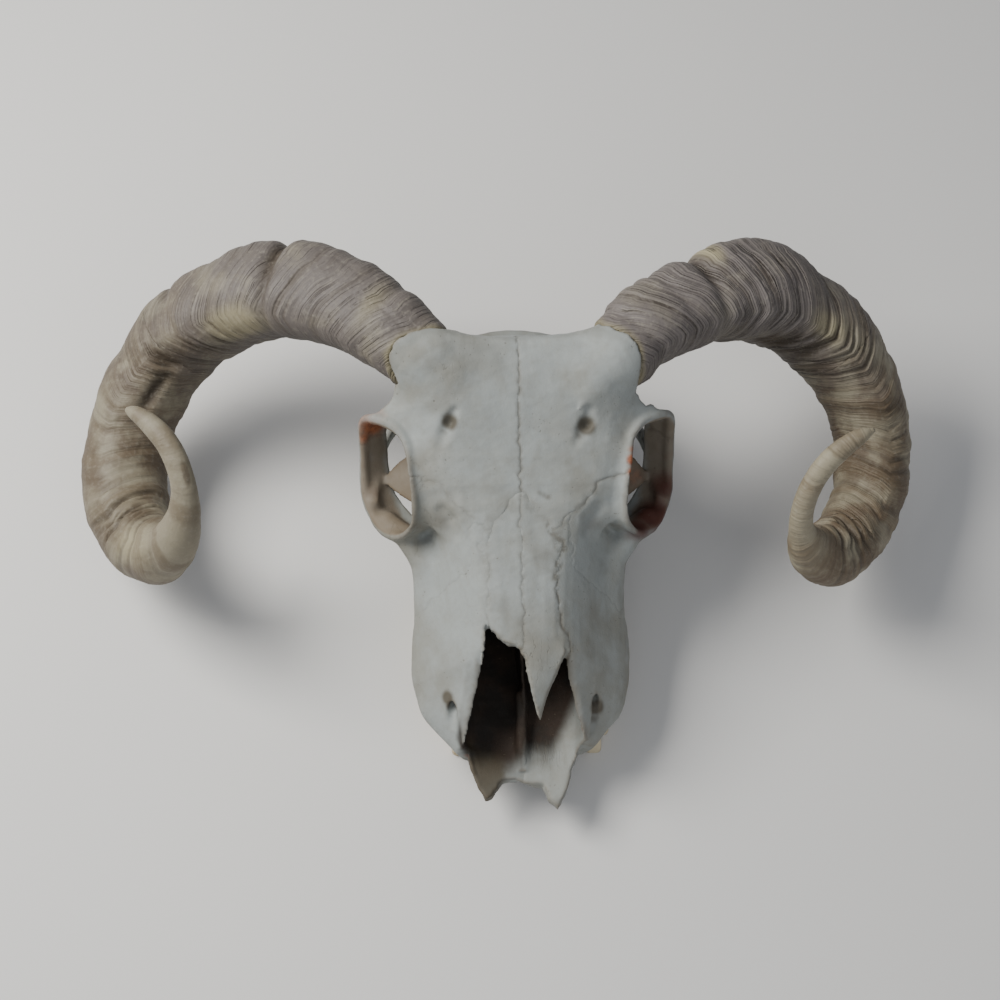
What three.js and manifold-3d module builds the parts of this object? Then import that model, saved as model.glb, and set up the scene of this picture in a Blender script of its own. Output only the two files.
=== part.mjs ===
// Ram skull with both horns, without the lower jaw. Millimetres.
// +X is the animal's left, +Y runs from the muzzle to the back of the head, +Z is up from the surface
// that the skull lies on. Heights count from the chewing surfaces of the cheek teeth, lengths from the
// tip of the nasal bones, and the whole group is shifted at the end to the middle of its own box.
import * as THREE from "three";
import { mergeVertices } from "three/addons/utils/BufferGeometryUtils.js";
import Module from "manifold-3d";

const wasm = await Module();
wasm.setup();

// ---- driving dimensions ----
const GAP = 0.3; // clearance between neighbouring bones, as at a suture
const FINENESS = 0.2; // edges shorter than this are closed up where solids are cut or joined
const MUZZLE = { front: -27, back: 108 };
const NASAL = { thick: 3.2, tip: 0, root: 88 };
const TOOTH_LENGTHS = [8, 9.5, 10.5, 14, 16.5, 17.5]; // second premolar to third molar
const TOOTH_WIDTHS = [8, 11, 12.5, 14, 15, 13.5];
const TOOTH_OUTLINE = [[1, -0.6], [0.92, 0], [1, 0.6], [0.7, 1], [-0.6, 1], [-1, 0.7], [-0.9, 0], [-1, -0.7],
  [-0.6, -1], [0.7, -1]]; // shares of half a tooth's width and length, with the furrow down its outer face
const TOOTH = { front: 6, top: 15, lean: 2 };

// ---- small tools ----
const vec = (x, y, z) => new THREE.Vector3(x, y, z);

/** A smooth function through [at, value] pairs, level beyond its ends. */
function curve(...pairs) {
  const last = pairs.length - 1;
  const slope = pairs.map((p, i) => {
    const a = pairs[Math.max(i - 1, 0)];
    const b = pairs[Math.min(i + 1, last)];
    return (b[1] - a[1]) / (b[0] - a[0]);
  });
  return (t) => {
    if (t <= pairs[0][0]) return pairs[0][1];
    if (t >= pairs[last][0]) return pairs[last][1];
    const i = pairs.findIndex((p) => p[0] > t) - 1;
    const h = pairs[i + 1][0] - pairs[i][0];
    const s = (t - pairs[i][0]) / h;
    const s2 = s * s;
    const s3 = s2 * s;
    return (
      (2 * s3 - 3 * s2 + 1) * pairs[i][1] +
      (s3 - 2 * s2 + s) * h * slope[i] +
      (3 * s2 - 2 * s3) * pairs[i + 1][1] +
      (s3 - s2) * h * slope[i + 1]
    );
  };
}

/** Evenly spaced numbers from a to b, both included. */
const steps = (a, b, n) => Array.from({ length: n + 1 }, (_, i) => a + ((b - a) * i) / n);

/** A manifold solid from a closed three.js geometry, turned outward if it came out inverted. */
function solid(geometry) {
  const g = geometry.clone();
  g.deleteAttribute("normal");
  g.deleteAttribute("uv");
  const merged = mergeVertices(g, 1e-4);
  const make = (tri) =>
    new wasm.Manifold(
      new wasm.Mesh({
        numProp: 3,
        vertProperties: new Float32Array(merged.attributes.position.array),
        triVerts: tri,
        tolerance: FINENESS,
      }),
    );
  const index = new Uint32Array(merged.index.array);
  const made = make(index);
  if (made.volume() > 0) return made;
  for (let i = 0; i < index.length; i += 3) {
    [index[i + 1], index[i + 2]] = [index[i + 2], index[i + 1]];
  }
  return make(index);
}

/** A closed skin over rings of equal point counts, capped at both ends or closed into a loop. */
function loft(rings, closed = false) {
  const n = rings[0].length;
  const points = rings.flat();
  const index = [];
  const bands = closed ? rings.length : rings.length - 1;
  for (let r = 0; r < bands; r++) {
    const a = r * n;
    const b = ((r + 1) % rings.length) * n;
    for (let i = 0; i < n; i++) {
      const j = (i + 1) % n;
      index.push(a + i, a + j, b + j, a + i, b + j, b + i);
    }
  }
  if (!closed) {
    [rings[0], rings[rings.length - 1]].forEach((ring, end) => {
      const middle = ring.reduce((s, p) => s.add(p), vec(0, 0, 0)).divideScalar(n);
      const c = points.push(middle) - 1;
      const base = end ? (rings.length - 1) * n : 0;
      for (let i = 0; i < n; i++) {
        const j = (i + 1) % n;
        index.push(...(end ? [c, base + i, base + j] : [c, base + j, base + i]));
      }
    });
  }
  const g = new THREE.BufferGeometry().setFromPoints(points);
  g.setIndex(index);
  return solid(g);
}

/** An ellipsoid. */
function ball(x, y, z, rx, ry, rz, detail = 16) {
  const g = new THREE.SphereGeometry(1, detail, Math.round(detail * 0.7));
  g.rotateX(Math.PI / 2).scale(rx, ry, rz).translate(x, y, z);
  return solid(g);
}

/** A tube through points, with half-widths that change from point to point; flat says how flat it is. */
function limb(points, radii, { flat = 1, up = vec(0, 0, 1), sides = 10, count = 10, closed = false } = {}) {
  const path = new THREE.CatmullRomCurve3(points, closed);
  const last = closed ? points.length : points.length - 1;
  const radius = curve(...radii.concat(closed ? [radii[0]] : []).map((r, i) => [i / last, r]));
  const rings = steps(0, 1, count).map((t) => {
    const p = path.getPoint(t);
    const ahead = path.getTangent(t);
    const side = new THREE.Vector3().crossVectors(ahead, up).normalize();
    const lift = new THREE.Vector3().crossVectors(side, ahead);
    return Array.from({ length: sides }, (_, i) => {
      const a = (2 * Math.PI * i) / sides;
      const r = radius(t);
      return p
        .clone()
        .addScaledVector(side, Math.cos(a) * r * flat)
        .addScaledVector(lift, Math.sin(a) * r);
    });
  });
  return loft(closed ? rings.slice(0, -1) : rings, closed);
}

/** A prism over an outline of [y, z] corners, from x = low to x = high. */
function prism(outline, low, high) {
  const shape = new THREE.Shape(outline.map(([y, z]) => new THREE.Vector2(y, z)));
  const g = new THREE.ExtrudeGeometry(shape, { depth: high - low, bevelEnabled: false });
  g.applyMatrix4(new THREE.Matrix4().makeBasis(vec(0, 1, 0), vec(0, 0, 1), vec(1, 0, 0)));
  g.translate(low, 0, 0);
  return solid(g);
}

const join = (...parts) => parts.reduce((a, b) => a.add(b));

/** The same piece on both sides. */
const both = (make) => make(1).add(make(-1));

// ---- the lines that shape the skull, each a height or half-width along y ----
const roof = curve([-30, 38], [0, 54], [20, 63.5], [45, 74], [70, 83], [87, 90], [105, 99.5], [125, 112],
  [140, 119.5], [146, 121], [150, 117], [156, 106]);
const rim = curve([-28, 20.5], [-14, 29], [0, 40], [22, 55], [38, 63]); // top edge of the open muzzle
const rimHalf = curve([-28, 14.5], [-20, 19.5], [-6, 23.5], [8, 21], [20, 17.6], [32, 15.6], [48, 15.5]);
const nasalHalf = curve([0, 6], [14, 11], [24, 17.5], [34, 15.8], [58, 15.2], [72, 19], [80, 15], [88, 4]);
const roofHalf = curve([-28, 14], [-6, 23], [20, 18], [34, 17], [50, 17], [75, 22], [90, 30], [108, 36]);
const cheekHalf = curve([-28, 16.5], [-20, 19.5], [-8, 24], [0, 31], [6, 36.5], [14, 43], [24, 46], [36, 47.5],
  [48, 46.5], [60, 44.7], [72, 44.5], [82, 45], [94, 40], [108, 31]);
const cheekHeight = curve([-28, 19], [0, 26], [20, 30], [40, 34], [60, 42], [80, 49], [108, 54]);
const jawHalf = curve([-28, 12], [-12, 17], [2, 25], [14, 34.5], [40, 37.5], [70, 38], [90, 34], [108, 20]);
const jawHeight = curve([-28, 17], [-12, 14.5], [4, 14], [80, 14], [94, 17], [108, 36]);
const palate = curve([-28, 18], [-10, 17], [10, 18], [60, 20], [92, 22], [108, 40]);

/** A ring across the body at y through half-outline points [x, z], from the top round to the bottom. */
function ringAt(y, half, count) {
  const left = half.map(([x, z]) => vec(x, y, z));
  const right = half.slice(1, -1).reverse().map(([x, z]) => vec(-x, y, z));
  return new THREE.CatmullRomCurve3([...left, ...right], true, "centripetal").getSpacedPoints(count).slice(0, -1);
}

function muzzleRing(y) {
  const open = y < 38;
  const top = open ? rim(y) + 5 : roof(y);
  const shoulder = open ? rim(y) + 2 : roof(y) - 2.5;
  const cheek = cheekHalf(y);
  const low = cheekHeight(y);
  const bottom = jawHeight(y);
  return ringAt(y, [
    [0, top],
    [roofHalf(y), shoulder],
    [roofHalf(y) * 0.4 + cheek * 0.6 + 0.5, shoulder * 0.45 + low * 0.55],
    [cheek, low],
    [jawHalf(y), bottom + 1],
    [jawHalf(y) * 0.66, bottom],
    [0, palate(y)],
  ], 16);
}

/** The air passage from the nostrils to the throat. */
function nasalPassage() {
  const rings = steps(-40, 88, 8).map((y) => {
    const top = y < 38 ? rim(y) + 12 : roof(y) - 2.5 - Math.max(0, y - 62) * 0.45;
    const floor = palate(Math.max(y, -12)) + 4.5;
    const high = y < 38 ? rimHalf(y) : Math.max(rimHalf(y) - Math.max(0, y - 60) * 0.2, 9);
    const wide = Math.max(Math.min(cheekHalf(y) - 6, 25 - Math.max(0, y - 50) * 0.3), high + 0.5);
    const edge = y < 38 ? rim(y) : roof(y) - 6;
    return ringAt(y, [
      [0, top],
      [high, edge + 1],
      [wide, (edge + floor) / 2],
      [wide * 0.8, floor + 2],
      [0, floor],
    ], 12);
  });
  return loft(rings);
}

// ---- horns: each grows in equal steps, bending and twisting ever tighter towards its tip ----
// width and sway run along the horn's length, sway being a shift of the section towards its inner side.
// A waist is [share of the length, depth, half-length as a share]: a groove round the outer side.
const HORNS = {
  left: {
    side: 1,
    start: vec(43.7, 142.8, 109.7),
    heading: { azimuth: 52.7, elevation: 2.7, roll: 121.2 },
    length: 350,
    bendRadius: [100.2, 33.1],
    twist: [0.0034, -0.0123],
    width: curve([0, 36], [0.03, 36.6], [0.06, 38.8], [0.1, 40.2], [0.14, 41.8], [0.18, 44.6], [0.215, 47.6],
      [0.245, 47.4], [0.29, 44.6], [0.36, 42.8], [0.43, 39.6], [0.52, 36.8], [0.58, 35], [0.65, 33.2], [0.69, 32.6],
      [0.73, 30.6], [0.77, 24], [0.806, 17], [0.834, 12.2], [0.866, 10.6], [0.927, 10.3], [0.957, 9.6], [0.985, 7],
      [1, 2.5]),
    sway: curve([0, 0], [0.04, -0.8], [0.1, 1], [0.16, 0.3], [0.22, -1.3], [0.25, -0.8], [0.3, 1.1], [0.4, 1.4],
      [0.5, 1], [0.6, 1.1], [0.66, 1.5], [0.72, 0.4], [0.77, 0.4], [0.81, -0.6], [0.84, -1.4], [0.88, -0.6],
      [0.92, 0.7], [0.96, 1.9], [1, 1.7]),
    waists: [[0.028, 1.2, 0.012], [0.092, 1.2, 0.014], [0.14, 3.4, 0.015], [0.3, 1.2, 0.022], [0.41, 1.1, 0.022],
      [0.5, 1, 0.02]],
  },
  right: {
    side: -1,
    start: vec(-40.1, 146.9, 107.8),
    heading: { azimuth: 134.1, elevation: 5.6, roll: -141.6 },
    length: 364.6,
    bendRadius: [124.2, 29.6],
    twist: [0.0018, 0.0077],
    width: curve([0, 37], [0.05, 38.8], [0.1, 42], [0.16, 44.2], [0.23, 45], [0.3, 43.8], [0.35, 44], [0.4, 41.4],
      [0.44, 41.2], [0.54, 40.2], [0.61, 39], [0.68, 35], [0.73, 31.2], [0.78, 24.6], [0.81, 20], [0.85, 15],
      [0.88, 11.8], [0.91, 11.4], [0.95, 10.4], [0.98, 7.8], [1, 2.5]),
    sway: curve([0, 0.5], [0.05, 0.5], [0.12, 0], [0.2, -0.5], [0.25, 0], [0.3, 1.3], [0.35, 0.7], [0.42, 2],
      [0.5, 1.9], [0.6, 1.6], [0.68, 2.6], [0.74, 2.3], [0.8, 0.8], [0.87, -1.2], [0.92, -0.3], [0.96, 1.2], [1, 1.4]),
    waists: [[0.06, 1, 0.014], [0.12, 1, 0.016], [0.204, 4.4, 0.012], [0.285, 1.2, 0.02], [0.338, 1.8, 0.01],
      [0.42, 1.1, 0.022], [0.52, 0.9, 0.02]],
  },
};
const HORN_STATIONS = 27; // evenly spaced rings, besides those at the waists
const HORN_CUTS = [0, 0.37, 0.68, 1]; // where one length ends and the next begins
const HORN_SIDES = 12;
const HORN_CORNER = 0.06;
const CORNER_TURN = THREE.MathUtils.degToRad(66);

/** The shares of a horn's length that get a ring: even ones, and three at each waist. */
function stations({ waists }) {
  const close = (list, u, near) => list.some((v) => Math.abs(v - u) < near);
  const fixed = [...HORN_CUTS, ...waists.flatMap(([at, , reach]) => [at - reach, at, at + reach])];
  const even = steps(0, 1, HORN_STATIONS).filter((u) => !close(fixed, u, 0.016));
  const tight = fixed.filter((u, i) => !close(fixed.slice(0, i), u, 0.006));
  return [...tight, ...even].sort((a, b) => a - b);
}

/** The frames along a horn: where it is, its heading, the way it bends to, and the third direction. */
function growHorn(horn) {
  const { start, heading, length, bendRadius, twist } = horn;
  const turn = THREE.MathUtils.degToRad;
  const [az, el, roll] = [turn(heading.azimuth), turn(heading.elevation), turn(heading.roll)];
  const ahead = vec(Math.cos(el) * Math.cos(az), Math.cos(el) * Math.sin(az), Math.sin(el));
  const inward = vec(0, 0, 1).addScaledVector(ahead, -ahead.z).normalize();
  const across = new THREE.Vector3().crossVectors(ahead, inward);
  const place = start.clone();
  const spin = (a, b, angle) => {
    const old = a.clone();
    a.multiplyScalar(Math.cos(angle)).addScaledVector(b, Math.sin(angle));
    b.multiplyScalar(Math.cos(angle)).addScaledVector(old, -Math.sin(angle));
  };
  spin(inward, across, roll);
  const frames = [];
  const count = 400;
  const step = length / count;
  const wanted = stations(horn);
  for (let i = 0; i <= count; i++) {
    const u = i / count;
    if (frames.length < wanted.length && u >= wanted[frames.length] - 0.5 / count) {
      frames.push({ u, place: place.clone(), ahead: ahead.clone(), inward: inward.clone(), across: across.clone() });
    }
    const radius = bendRadius[0] * (bendRadius[1] / bendRadius[0]) ** u;
    spin(ahead, inward, step / radius);
    spin(inward, across, (twist[0] + (twist[1] - twist[0]) * u) * step);
    place.addScaledVector(ahead, step);
  }
  return frames;
}

/** How deep the waists cut at a share of the length, deepest on the outer side of the bend. */
function waistDepth(waists, u, a) {
  const outer = 0.62 - 0.38 * Math.cos(a);
  return waists.reduce((s, [at, depth, reach]) => s + depth * outer * Math.exp(-(((u - at) / (reach * 0.6)) ** 2)), 0);
}

/** Rings of rounded three-cornered sections, wide near the skull and nearly round at the tip. */
function hornRings(horn) {
  return growHorn(horn).map(({ u, place, inward, across }) => {
    const half = horn.width(u) / 2;
    const corner = HORN_CORNER * Math.min(1, 1.2 - u);
    return Array.from({ length: HORN_SIDES }, (_, i) => {
      const a = (2 * Math.PI * i) / HORN_SIDES;
      const r = half * (1 + corner * Math.cos(3 * (a + horn.side * CORNER_TURN))) - waistDepth(horn.waists, u, a);
      return place
        .clone()
        .addScaledVector(inward, Math.cos(a) * r + horn.sway(u))
        .addScaledVector(across, Math.sin(a) * r);
    });
  });
}

/** One length of a horn, from ring to ring, stopping a gap short of the next length. */
function hornLength(rings, from, to) {
  const part = rings.slice(from, to + 1);
  if (to === rings.length - 1) return loft(part);
  const reach = part[part.length - 1][0].distanceTo(part[part.length - 2][0]);
  const share = GAP / Math.min(reach, 6);
  const end = part[part.length - 1].map((p, i) => p.clone().lerp(part[part.length - 2][i], share));
  return loft([...part.slice(0, -1), end]);
}

// ---- the bones ----
const SOCKET_AXIS = [0.843, -0.399, 0.363]; // the way the eye looks
const RIM = [
  [48.5, 98, 94], [50, 108, 97], [56, 117, 97], [66, 122.5, 91.5], [67.5, 121, 80], [67.5, 112, 68],
  [66.5, 101, 61.5], [60.5, 88, 60.5], [53, 80.5, 67], [47.5, 80, 79], [47, 88, 88],
];
const RIM_DEPTH = 10;

/** A point of the eye's rim, moved along the way the eye looks. */
function onRim([x, y, z], side, out) {
  return vec(side * (x + SOCKET_AXIS[0] * out), y + SOCKET_AXIS[1] * out, z + SOCKET_AXIS[2] * out);
}

/** The band of bone round the eye. */
function eyeRim(side) {
  const path = RIM.map((p) => onRim(p, side, -RIM_DEPTH / 2));
  const axis = vec(side * SOCKET_AXIS[0], SOCKET_AXIS[1], SOCKET_AXIS[2]);
  return limb(path, RIM.map(() => RIM_DEPTH / 2), { up: axis, flat: 0.38, sides: 6, count: 16, closed: true });
}

/** The hollow for the eye, narrowing inward to the nerve's hole. */
function eyeSocket(side) {
  const centre = vec(57.3, 101, 78);
  const ring = (out, size) =>
    Array.from({ length: RIM.length }, (_, k) => {
      const at = k;
      const i = Math.floor(at);
      const a = RIM[i];
      const b = RIM[(i + 1) % RIM.length];
      const p = vec(...a).lerp(vec(...b), at - i).sub(centre).multiplyScalar(size).add(centre);
      return onRim(p.toArray(), side, out);
    });
  return loft([ring(14, 1.02), ring(0, 0.92), ring(-9, 0.93), ring(-20, 0.8), ring(-29, 0.5), ring(-33, 0.2)]);
}

function cheekbone(side) {
  const at = ([x, y, z]) => vec(side * x, y, z);
  const ridge = [[38, 50, 39], [38.5, 64, 46], [41, 75, 54], [49, 84, 60], [56, 92, 60]];
  const arch = [[62.5, 103, 62], [61, 120, 60], [55.5, 136, 58.5], [47, 149, 57], [33, 157, 57]];
  return join(
    limb(ridge.map(at), [6, 6.5, 6.5, 5, 4.5], { sides: 6, count: 5, flat: 0.9 }),
    limb(arch.map(at), [4.6, 4.4, 4.2, 5, 7], { sides: 6, count: 6, flat: 0.5 }),
  );
}

/** The three-cornered shelf of thin bone that reaches back across the floor of the socket. */
function tearShelf(side) {
  const at = ([x, y, z]) => vec(side * x, y, z);
  return limb([[36, 92, 66], [46, 102, 65], [57, 111.5, 61]].map(at), [12, 8, 1.2], {
    up: vec(side * 0.5, -0.6, -0.6), flat: 0.35, sides: 6, count: 3,
  });
}

function forehead() {
  const half = curve([74, 22], [84, 43], [90, 46], [98, 48.5], [106, 50], [112, 53], [118, 60], [122, 63],
    [126, 59], [132, 50.5], [140, 49.5], [147, 48], [156, 38]);
  const thick = curve([74, 9], [90, 13], [110, 15], [130, 24], [150, 34], [156, 30]);
  const drop = curve([74, 8], [98, 6], [108, 7], [120, 17], [126, 16], [134, 12], [156, 16]);
  const rings = steps(74, 156, 14).map((y) => {
    const top = roof(y);
    const w = half(y);
    const edge = top - drop(y);
    return ringAt(y, [
      [0, top],
      [Math.min(w * 0.6, 30), top - 1],
      [w * 0.88, edge + drop(y) * 0.28],
      [w, edge],
      [w * 0.93, edge - 3.5],
      [Math.min(w * 0.7, 36), top - thick(y)],
      [0, top - thick(y) - 3],
    ], 16);
  });
  return loft(rings);
}

/** Parietal and temporal bones round the brain. */
function braincase() {
  const half = curve([100, 20], [112, 27], [126, 33], [140, 36], [154, 35], [166, 30], [172, 24]);
  const top = curve([100, 92], [126, 106], [144, 112], [152, 111], [160, 98], [168, 82], [172, 74]);
  const bottom = curve([100, 52], [126, 46], [150, 42], [172, 42]);
  return loft(steps(100, 172, 5).map((y) => {
    const middle = (top(y) + bottom(y)) / 2;
    return ringAt(y, [
      [0, top(y)],
      [half(y) * 0.75, top(y) * 0.82 + bottom(y) * 0.18],
      [half(y), middle],
      [half(y) * 0.7, bottom(y) + 6],
      [0, bottom(y)],
    ], 12);
  }));
}

/** The bones under the brain, with the pair of thin wings behind the palate. */
function skullBase() {
  const floor = limb([vec(0, 104, 44), vec(0, 130, 46), vec(0, 156, 42), vec(0, 186, 34)], [11, 9, 10, 8],
    { flat: 1.3, count: 4, sides: 6 });
  const wing = (side) =>
    limb([vec(side * 15, 96, 27), vec(side * 14, 110, 28), vec(side * 13, 124, 40)], [6, 8, 6],
      { flat: 0.4, count: 3, sides: 6 });
  return floor.add(both(wing));
}

function earRegion(side) {
  return join(
    ball(side * 20, 158, 34, 9, 13, 11.5, 7),
    limb([vec(side * 25, 158, 44), vec(side * 40, 161, 49)], [7, 5.5], { count: 1, sides: 6 }),
    ball(side * 31, 164, 56, 8, 10, 16, 6),
  );
}

function occiput() {
  const rings = [
    [158, 27, 90, 46], [165, 33, 85, 40], [171, 35, 80.5, 33], [176, 33, 74, 31], [181, 25, 62, 31], [185, 15, 54, 31],
  ].map(([y, half, top, bottom]) =>
    ringAt(y, [
      [0, top],
      [half * 0.62, top - 4],
      [half, (top + bottom) / 2 + 2],
      [half * 0.8, bottom + 6],
      [0, bottom],
    ], 12),
  );
  const condyle = (side) => ball(side * 13, 185, 38, 8.5, 9.5, 12, 7);
  const process = (side) =>
    limb([vec(side * 29, 174, 44), vec(side * 28.5, 176, 22), vec(side * 26, 174, -4)], [9, 7.5, 4.6],
      { flat: 0.62, up: vec(0, 1, 0), count: 3, sides: 6 });
  return join(loft(rings), both(condyle), both(process));
}

/** The bone that a horn stands on, ending in a low collar round the horn's own first ring. */
function pedicle(horn) {
  const first = hornRings(horn)[0];
  const { ahead, place } = growHorn(horn)[0];
  const moved = (out, size, sink = 0) =>
    first.map((p) => {
      const q = p.clone().sub(place).multiplyScalar(size).add(place).addScaledVector(ahead, out);
      return q.add(vec(0, 0, -sink));
    });
  return loft([moved(-26, 0.45, 18), moved(-13, 0.8, 8), moved(-3, 1.03), moved(1, 1)]);
}

/** The room that a horn's base takes in the forehead, with its gap. */
function hornRoom(horn) {
  const frames = growHorn(horn).slice(0, 8);
  const rings = hornRings(horn).slice(0, 8).map((ring, i) => {
    const { place, ahead } = frames[i];
    const back = i === 0 ? GAP : 0;
    const size = 1 + (GAP * 1.3) / (horn.width(frames[i].u) / 2);
    return ring.map((p) => p.clone().sub(place).multiplyScalar(size).add(place).addScaledVector(ahead, -back));
  });
  return loft(rings);
}

// ---- openings ----

/** The way down behind the eye, between the cheekbone's arch and the braincase. */
function templeGap(side) {
  return limb([vec(side * 50, 112, 88), vec(side * 49, 124, 66), vec(side * 45, 132, 30)], [8, 10, 12],
    { flat: 0.8, up: vec(0, 1, 0), count: 3, sides: 6 });
}

/** What the muzzle's front has lost, seen from above: all in front of two uneven prongs. */
const PRONGS = [[-60, -3], [-23.6, -3], [-22.3, -10], [-20, -16.5], [-16.5, -22.3], [-13.5, -20.5], [-10.3, -15],
  [-8.9, -13.2], [-4, -12.8], [3, -15.2], [8, -16], [10.2, -22.3], [14.2, -26.5], [17.5, -20.5], [20.9, -8.7],
  [23.8, -1.5], [60, -1.5]];

function muzzleFront() {
  const ys = steps(-28, 36, 8);
  const edge = ys.map((y) => [y, rim(y)]);
  return prism([...edge, [36, 120], [-60, 120], [-60, 60], [-28, 60]], -70, 70)
    .add(column([...PRONGS, [60, -60], [-60, -60]], -20, 70));
}

function throat() {
  return limb([vec(0, 80, 32), vec(0, 104, 31), vec(0, 124, 30)], [8, 9, 8], { flat: 1.25, count: 2, sides: 6 });
}

function brainHole() {
  return limb([vec(0, 172, 52), vec(0, 205, 43)], [9.5, 10], { count: 1, sides: 8 });
}

// ---- parting the bones ----

/** An outline moved outward by a distance. */
function grown(outline, by) {
  if (!by) return outline;
  const turn = Math.sign(outline.reduce((s, [x, y], i) => {
    const [u, v] = outline[(i + 1) % outline.length];
    return s + x * v - u * y;
  }, 0));
  const out = (a, b) => new THREE.Vector2(b[1] - a[1], a[0] - b[0]).normalize().multiplyScalar(turn);
  return outline.map((p, i) => {
    const before = outline[(i + outline.length - 1) % outline.length];
    const n1 = out(before, p);
    const n2 = out(p, outline[(i + 1) % outline.length]);
    const n = n1.clone().add(n2).normalize();
    const reach = by / Math.max(n.dot(n1), 0.5);
    return [p[0] + n.x * reach, p[1] + n.y * reach];
  });
}

/** An upright prism over an outline of [x, y] corners. */
function column(outline, low = -20, high = 160) {
  const shape = new THREE.Shape(outline.map(([x, y]) => new THREE.Vector2(x, y)));
  return solid(new THREE.ExtrudeGeometry(shape, { depth: high - low, bevelEnabled: false }).translate(0, 0, low));
}

/** The forehead's share: everything inside the suture that runs from the nasal bones to the sockets. */
function foreheadShare(grow) {
  const suture = [[15, 74], [20, 80], [27, 85], [33, 93], [41, 96.5], [54, 96], [90, 96]];
  const mirrored = suture.map(([x, y]) => [-x, y]).reverse();
  const plan = [...mirrored, [-10, 78], [0, 80], [10, 78], ...suture, [90, 150], [60, 190], [-60, 190], [-90, 150]];
  const profile = [[60, 62], [84, 72], [98, 78], [126, 79], [138, 86], [147, 98], [153, 112], [158, 140], [60, 140]];
  return column(grown(plan, grow)).intersect(prism(grown(profile, grow), -95, 95));
}

/** One cheekbone's share: tear bone, front and lower rim of the eye, and the front of the arch. */
function cheekShare(side, grow) {
  const plan = [[21, 62], [38, 57], [60, 42], [90, 42], [90, 133], [42, 133], [43, 106], [36, 101], [21, 101]];
  const profile = [[30, 34], [70, 42], [92, 51], [140, 51], [140, 120], [30, 120]];
  const mirrored = plan.map(([x, y]) => [side * x, y]);
  return column(grown(mirrored, grow)).intersect(prism(grown(profile, grow), -95, 95));
}

/** Everything behind the palate. */
function rearShare(grow) {
  return prism([[101 - grow, -20], [101 - grow, 130], [240, 130], [240, -20]], -95, 95);
}

/** The occipital bone's share at the back of the head. */
function occiputShare(grow) {
  const profile = [[158, 25], [164, 40], [165, 60], [163, 78], [161, 110], [240, 110], [240, -20], [165, -20], [163, 25]];
  return prism(grown(profile.slice(1), grow), -95, 95);
}

function halfOf(side) {
  return solid(new THREE.BoxGeometry(120, 400, 260).translate(side * (60 + GAP / 2), 60, 90));
}

// ---- nasal bones ----

/** The pair as a thin arched plate over the passage. */
function nasalPair(grow) {
  const rings = steps(NASAL.tip, NASAL.root, 9).map((at, i) => {
    const y = at + (i === 0 ? -grow : i === 9 ? grow : 0);
    const top = roof(at) + grow;
    const half = Math.max(nasalHalf(at), 3.5) + grow;
    const under = NASAL.thick + grow * 3;
    return ringAt(y, [
      [0, top + 0.3],
      [half * 0.6, top - 0.5],
      [half, top - 2.5],
      [half, top - 2.5 - under],
      [half * 0.6, top - 0.5 - under],
      [0, top + 0.3 - under],
    ], 14);
  });
  return loft(rings);
}

/** What the right nasal bone has lost: its front, along an uneven slanting line. */
function rightBreak() {
  return column([[1, 25], [-2, 30.5], [-9, 33.5], [-13, 38], [-14.5, 42], [-40, 43], [-40, -30], [1, -30]]);
}

/** The free end of the left nasal bone, a long point that leans to the side. */
function leftPoint() {
  return column([[0.15, 100], [0.15, 27], [1.6, 19], [3.6, 9], [5.6, 3], [7.4, 1.5], [9, 8], [11.5, 15], [14, 19],
    [16.5, 25], [18.3, 28.5], [30, 34], [30, 100]]);
}

// ---- teeth: one row to a side, each tooth touching the next, rooted in the upper jaw ----
function toothRow(side) {
  let y = TOOTH.front;
  const teeth = TOOTH_LENGTHS.map((length, i) => {
    const width = TOOTH_WIDTHS[i];
    const middle = y + length / 2;
    y += length;
    const outer = jawHalf(middle) + 1.2;
    const section = (z, swell) => {
      const x = side * (outer - width / 2 + (TOOTH.lean * (TOOTH.top - z)) / TOOTH.top);
      const wide = width / 2 + swell;
      const long = length / 2 + 0.25 + swell * 0.1;
      return TOOTH_OUTLINE.map(([across, along]) => vec(x + side * across * wide, middle + along * long, z));
    };
    return loft([section(0, -1.3), section(1.8, -0.2), section(TOOTH.top + 4, -0.4)]);
  });
  return join(...teeth);
}

// ---- putting the skull together ----
const bone = new THREE.MeshStandardMaterial({ color: 0xa9aeaa, roughness: 0.7, metalness: 0 });
const keratin = new THREE.MeshStandardMaterial({ color: 0x85796a, roughness: 0.6, metalness: 0 });

const skull = new THREE.Group();

/** Adds a solid to the group as a named mesh, without the crumbs that a cut can leave. */
function add(name, made, material) {
  const body = made.decompose().sort((a, b) => b.volume() - a.volume())[0];
  const m = body.getMesh();
  const g = new THREE.BufferGeometry();
  g.setAttribute("position", new THREE.BufferAttribute(new Float32Array(m.vertProperties), 3));
  g.setIndex(new THREE.BufferAttribute(new Uint32Array(m.triVerts), 1));
  g.computeVertexNormals();
  const mesh = new THREE.Mesh(g, material);
  mesh.name = name;
  skull.add(mesh);
}

const face = loft(steps(MUZZLE.front, MUZZLE.back, 14).map(muzzleRing));
const solidBone = join(face, forehead(), braincase(), skullBase(), occiput(), both(earRegion));
const whole = solidBone
  .subtract(muzzleFront())
  .subtract(nasalPassage())
  .subtract(both(eyeSocket))
  .subtract(both(templeGap))
  .add(both(eyeRim))
  .add(both(cheekbone))
  .add(both(tearShelf))
  .add(pedicle(HORNS.left))
  .add(pedicle(HORNS.right))
  .subtract(hornRoom(HORNS.left))
  .subtract(hornRoom(HORNS.right))
  .subtract(throat())
  .subtract(brainHole())
  .subtract(solid(new THREE.BoxGeometry(400, 400, 40).translate(0, 100, -20)))
  .subtract(nasalPair(GAP * 1.5));

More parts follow.
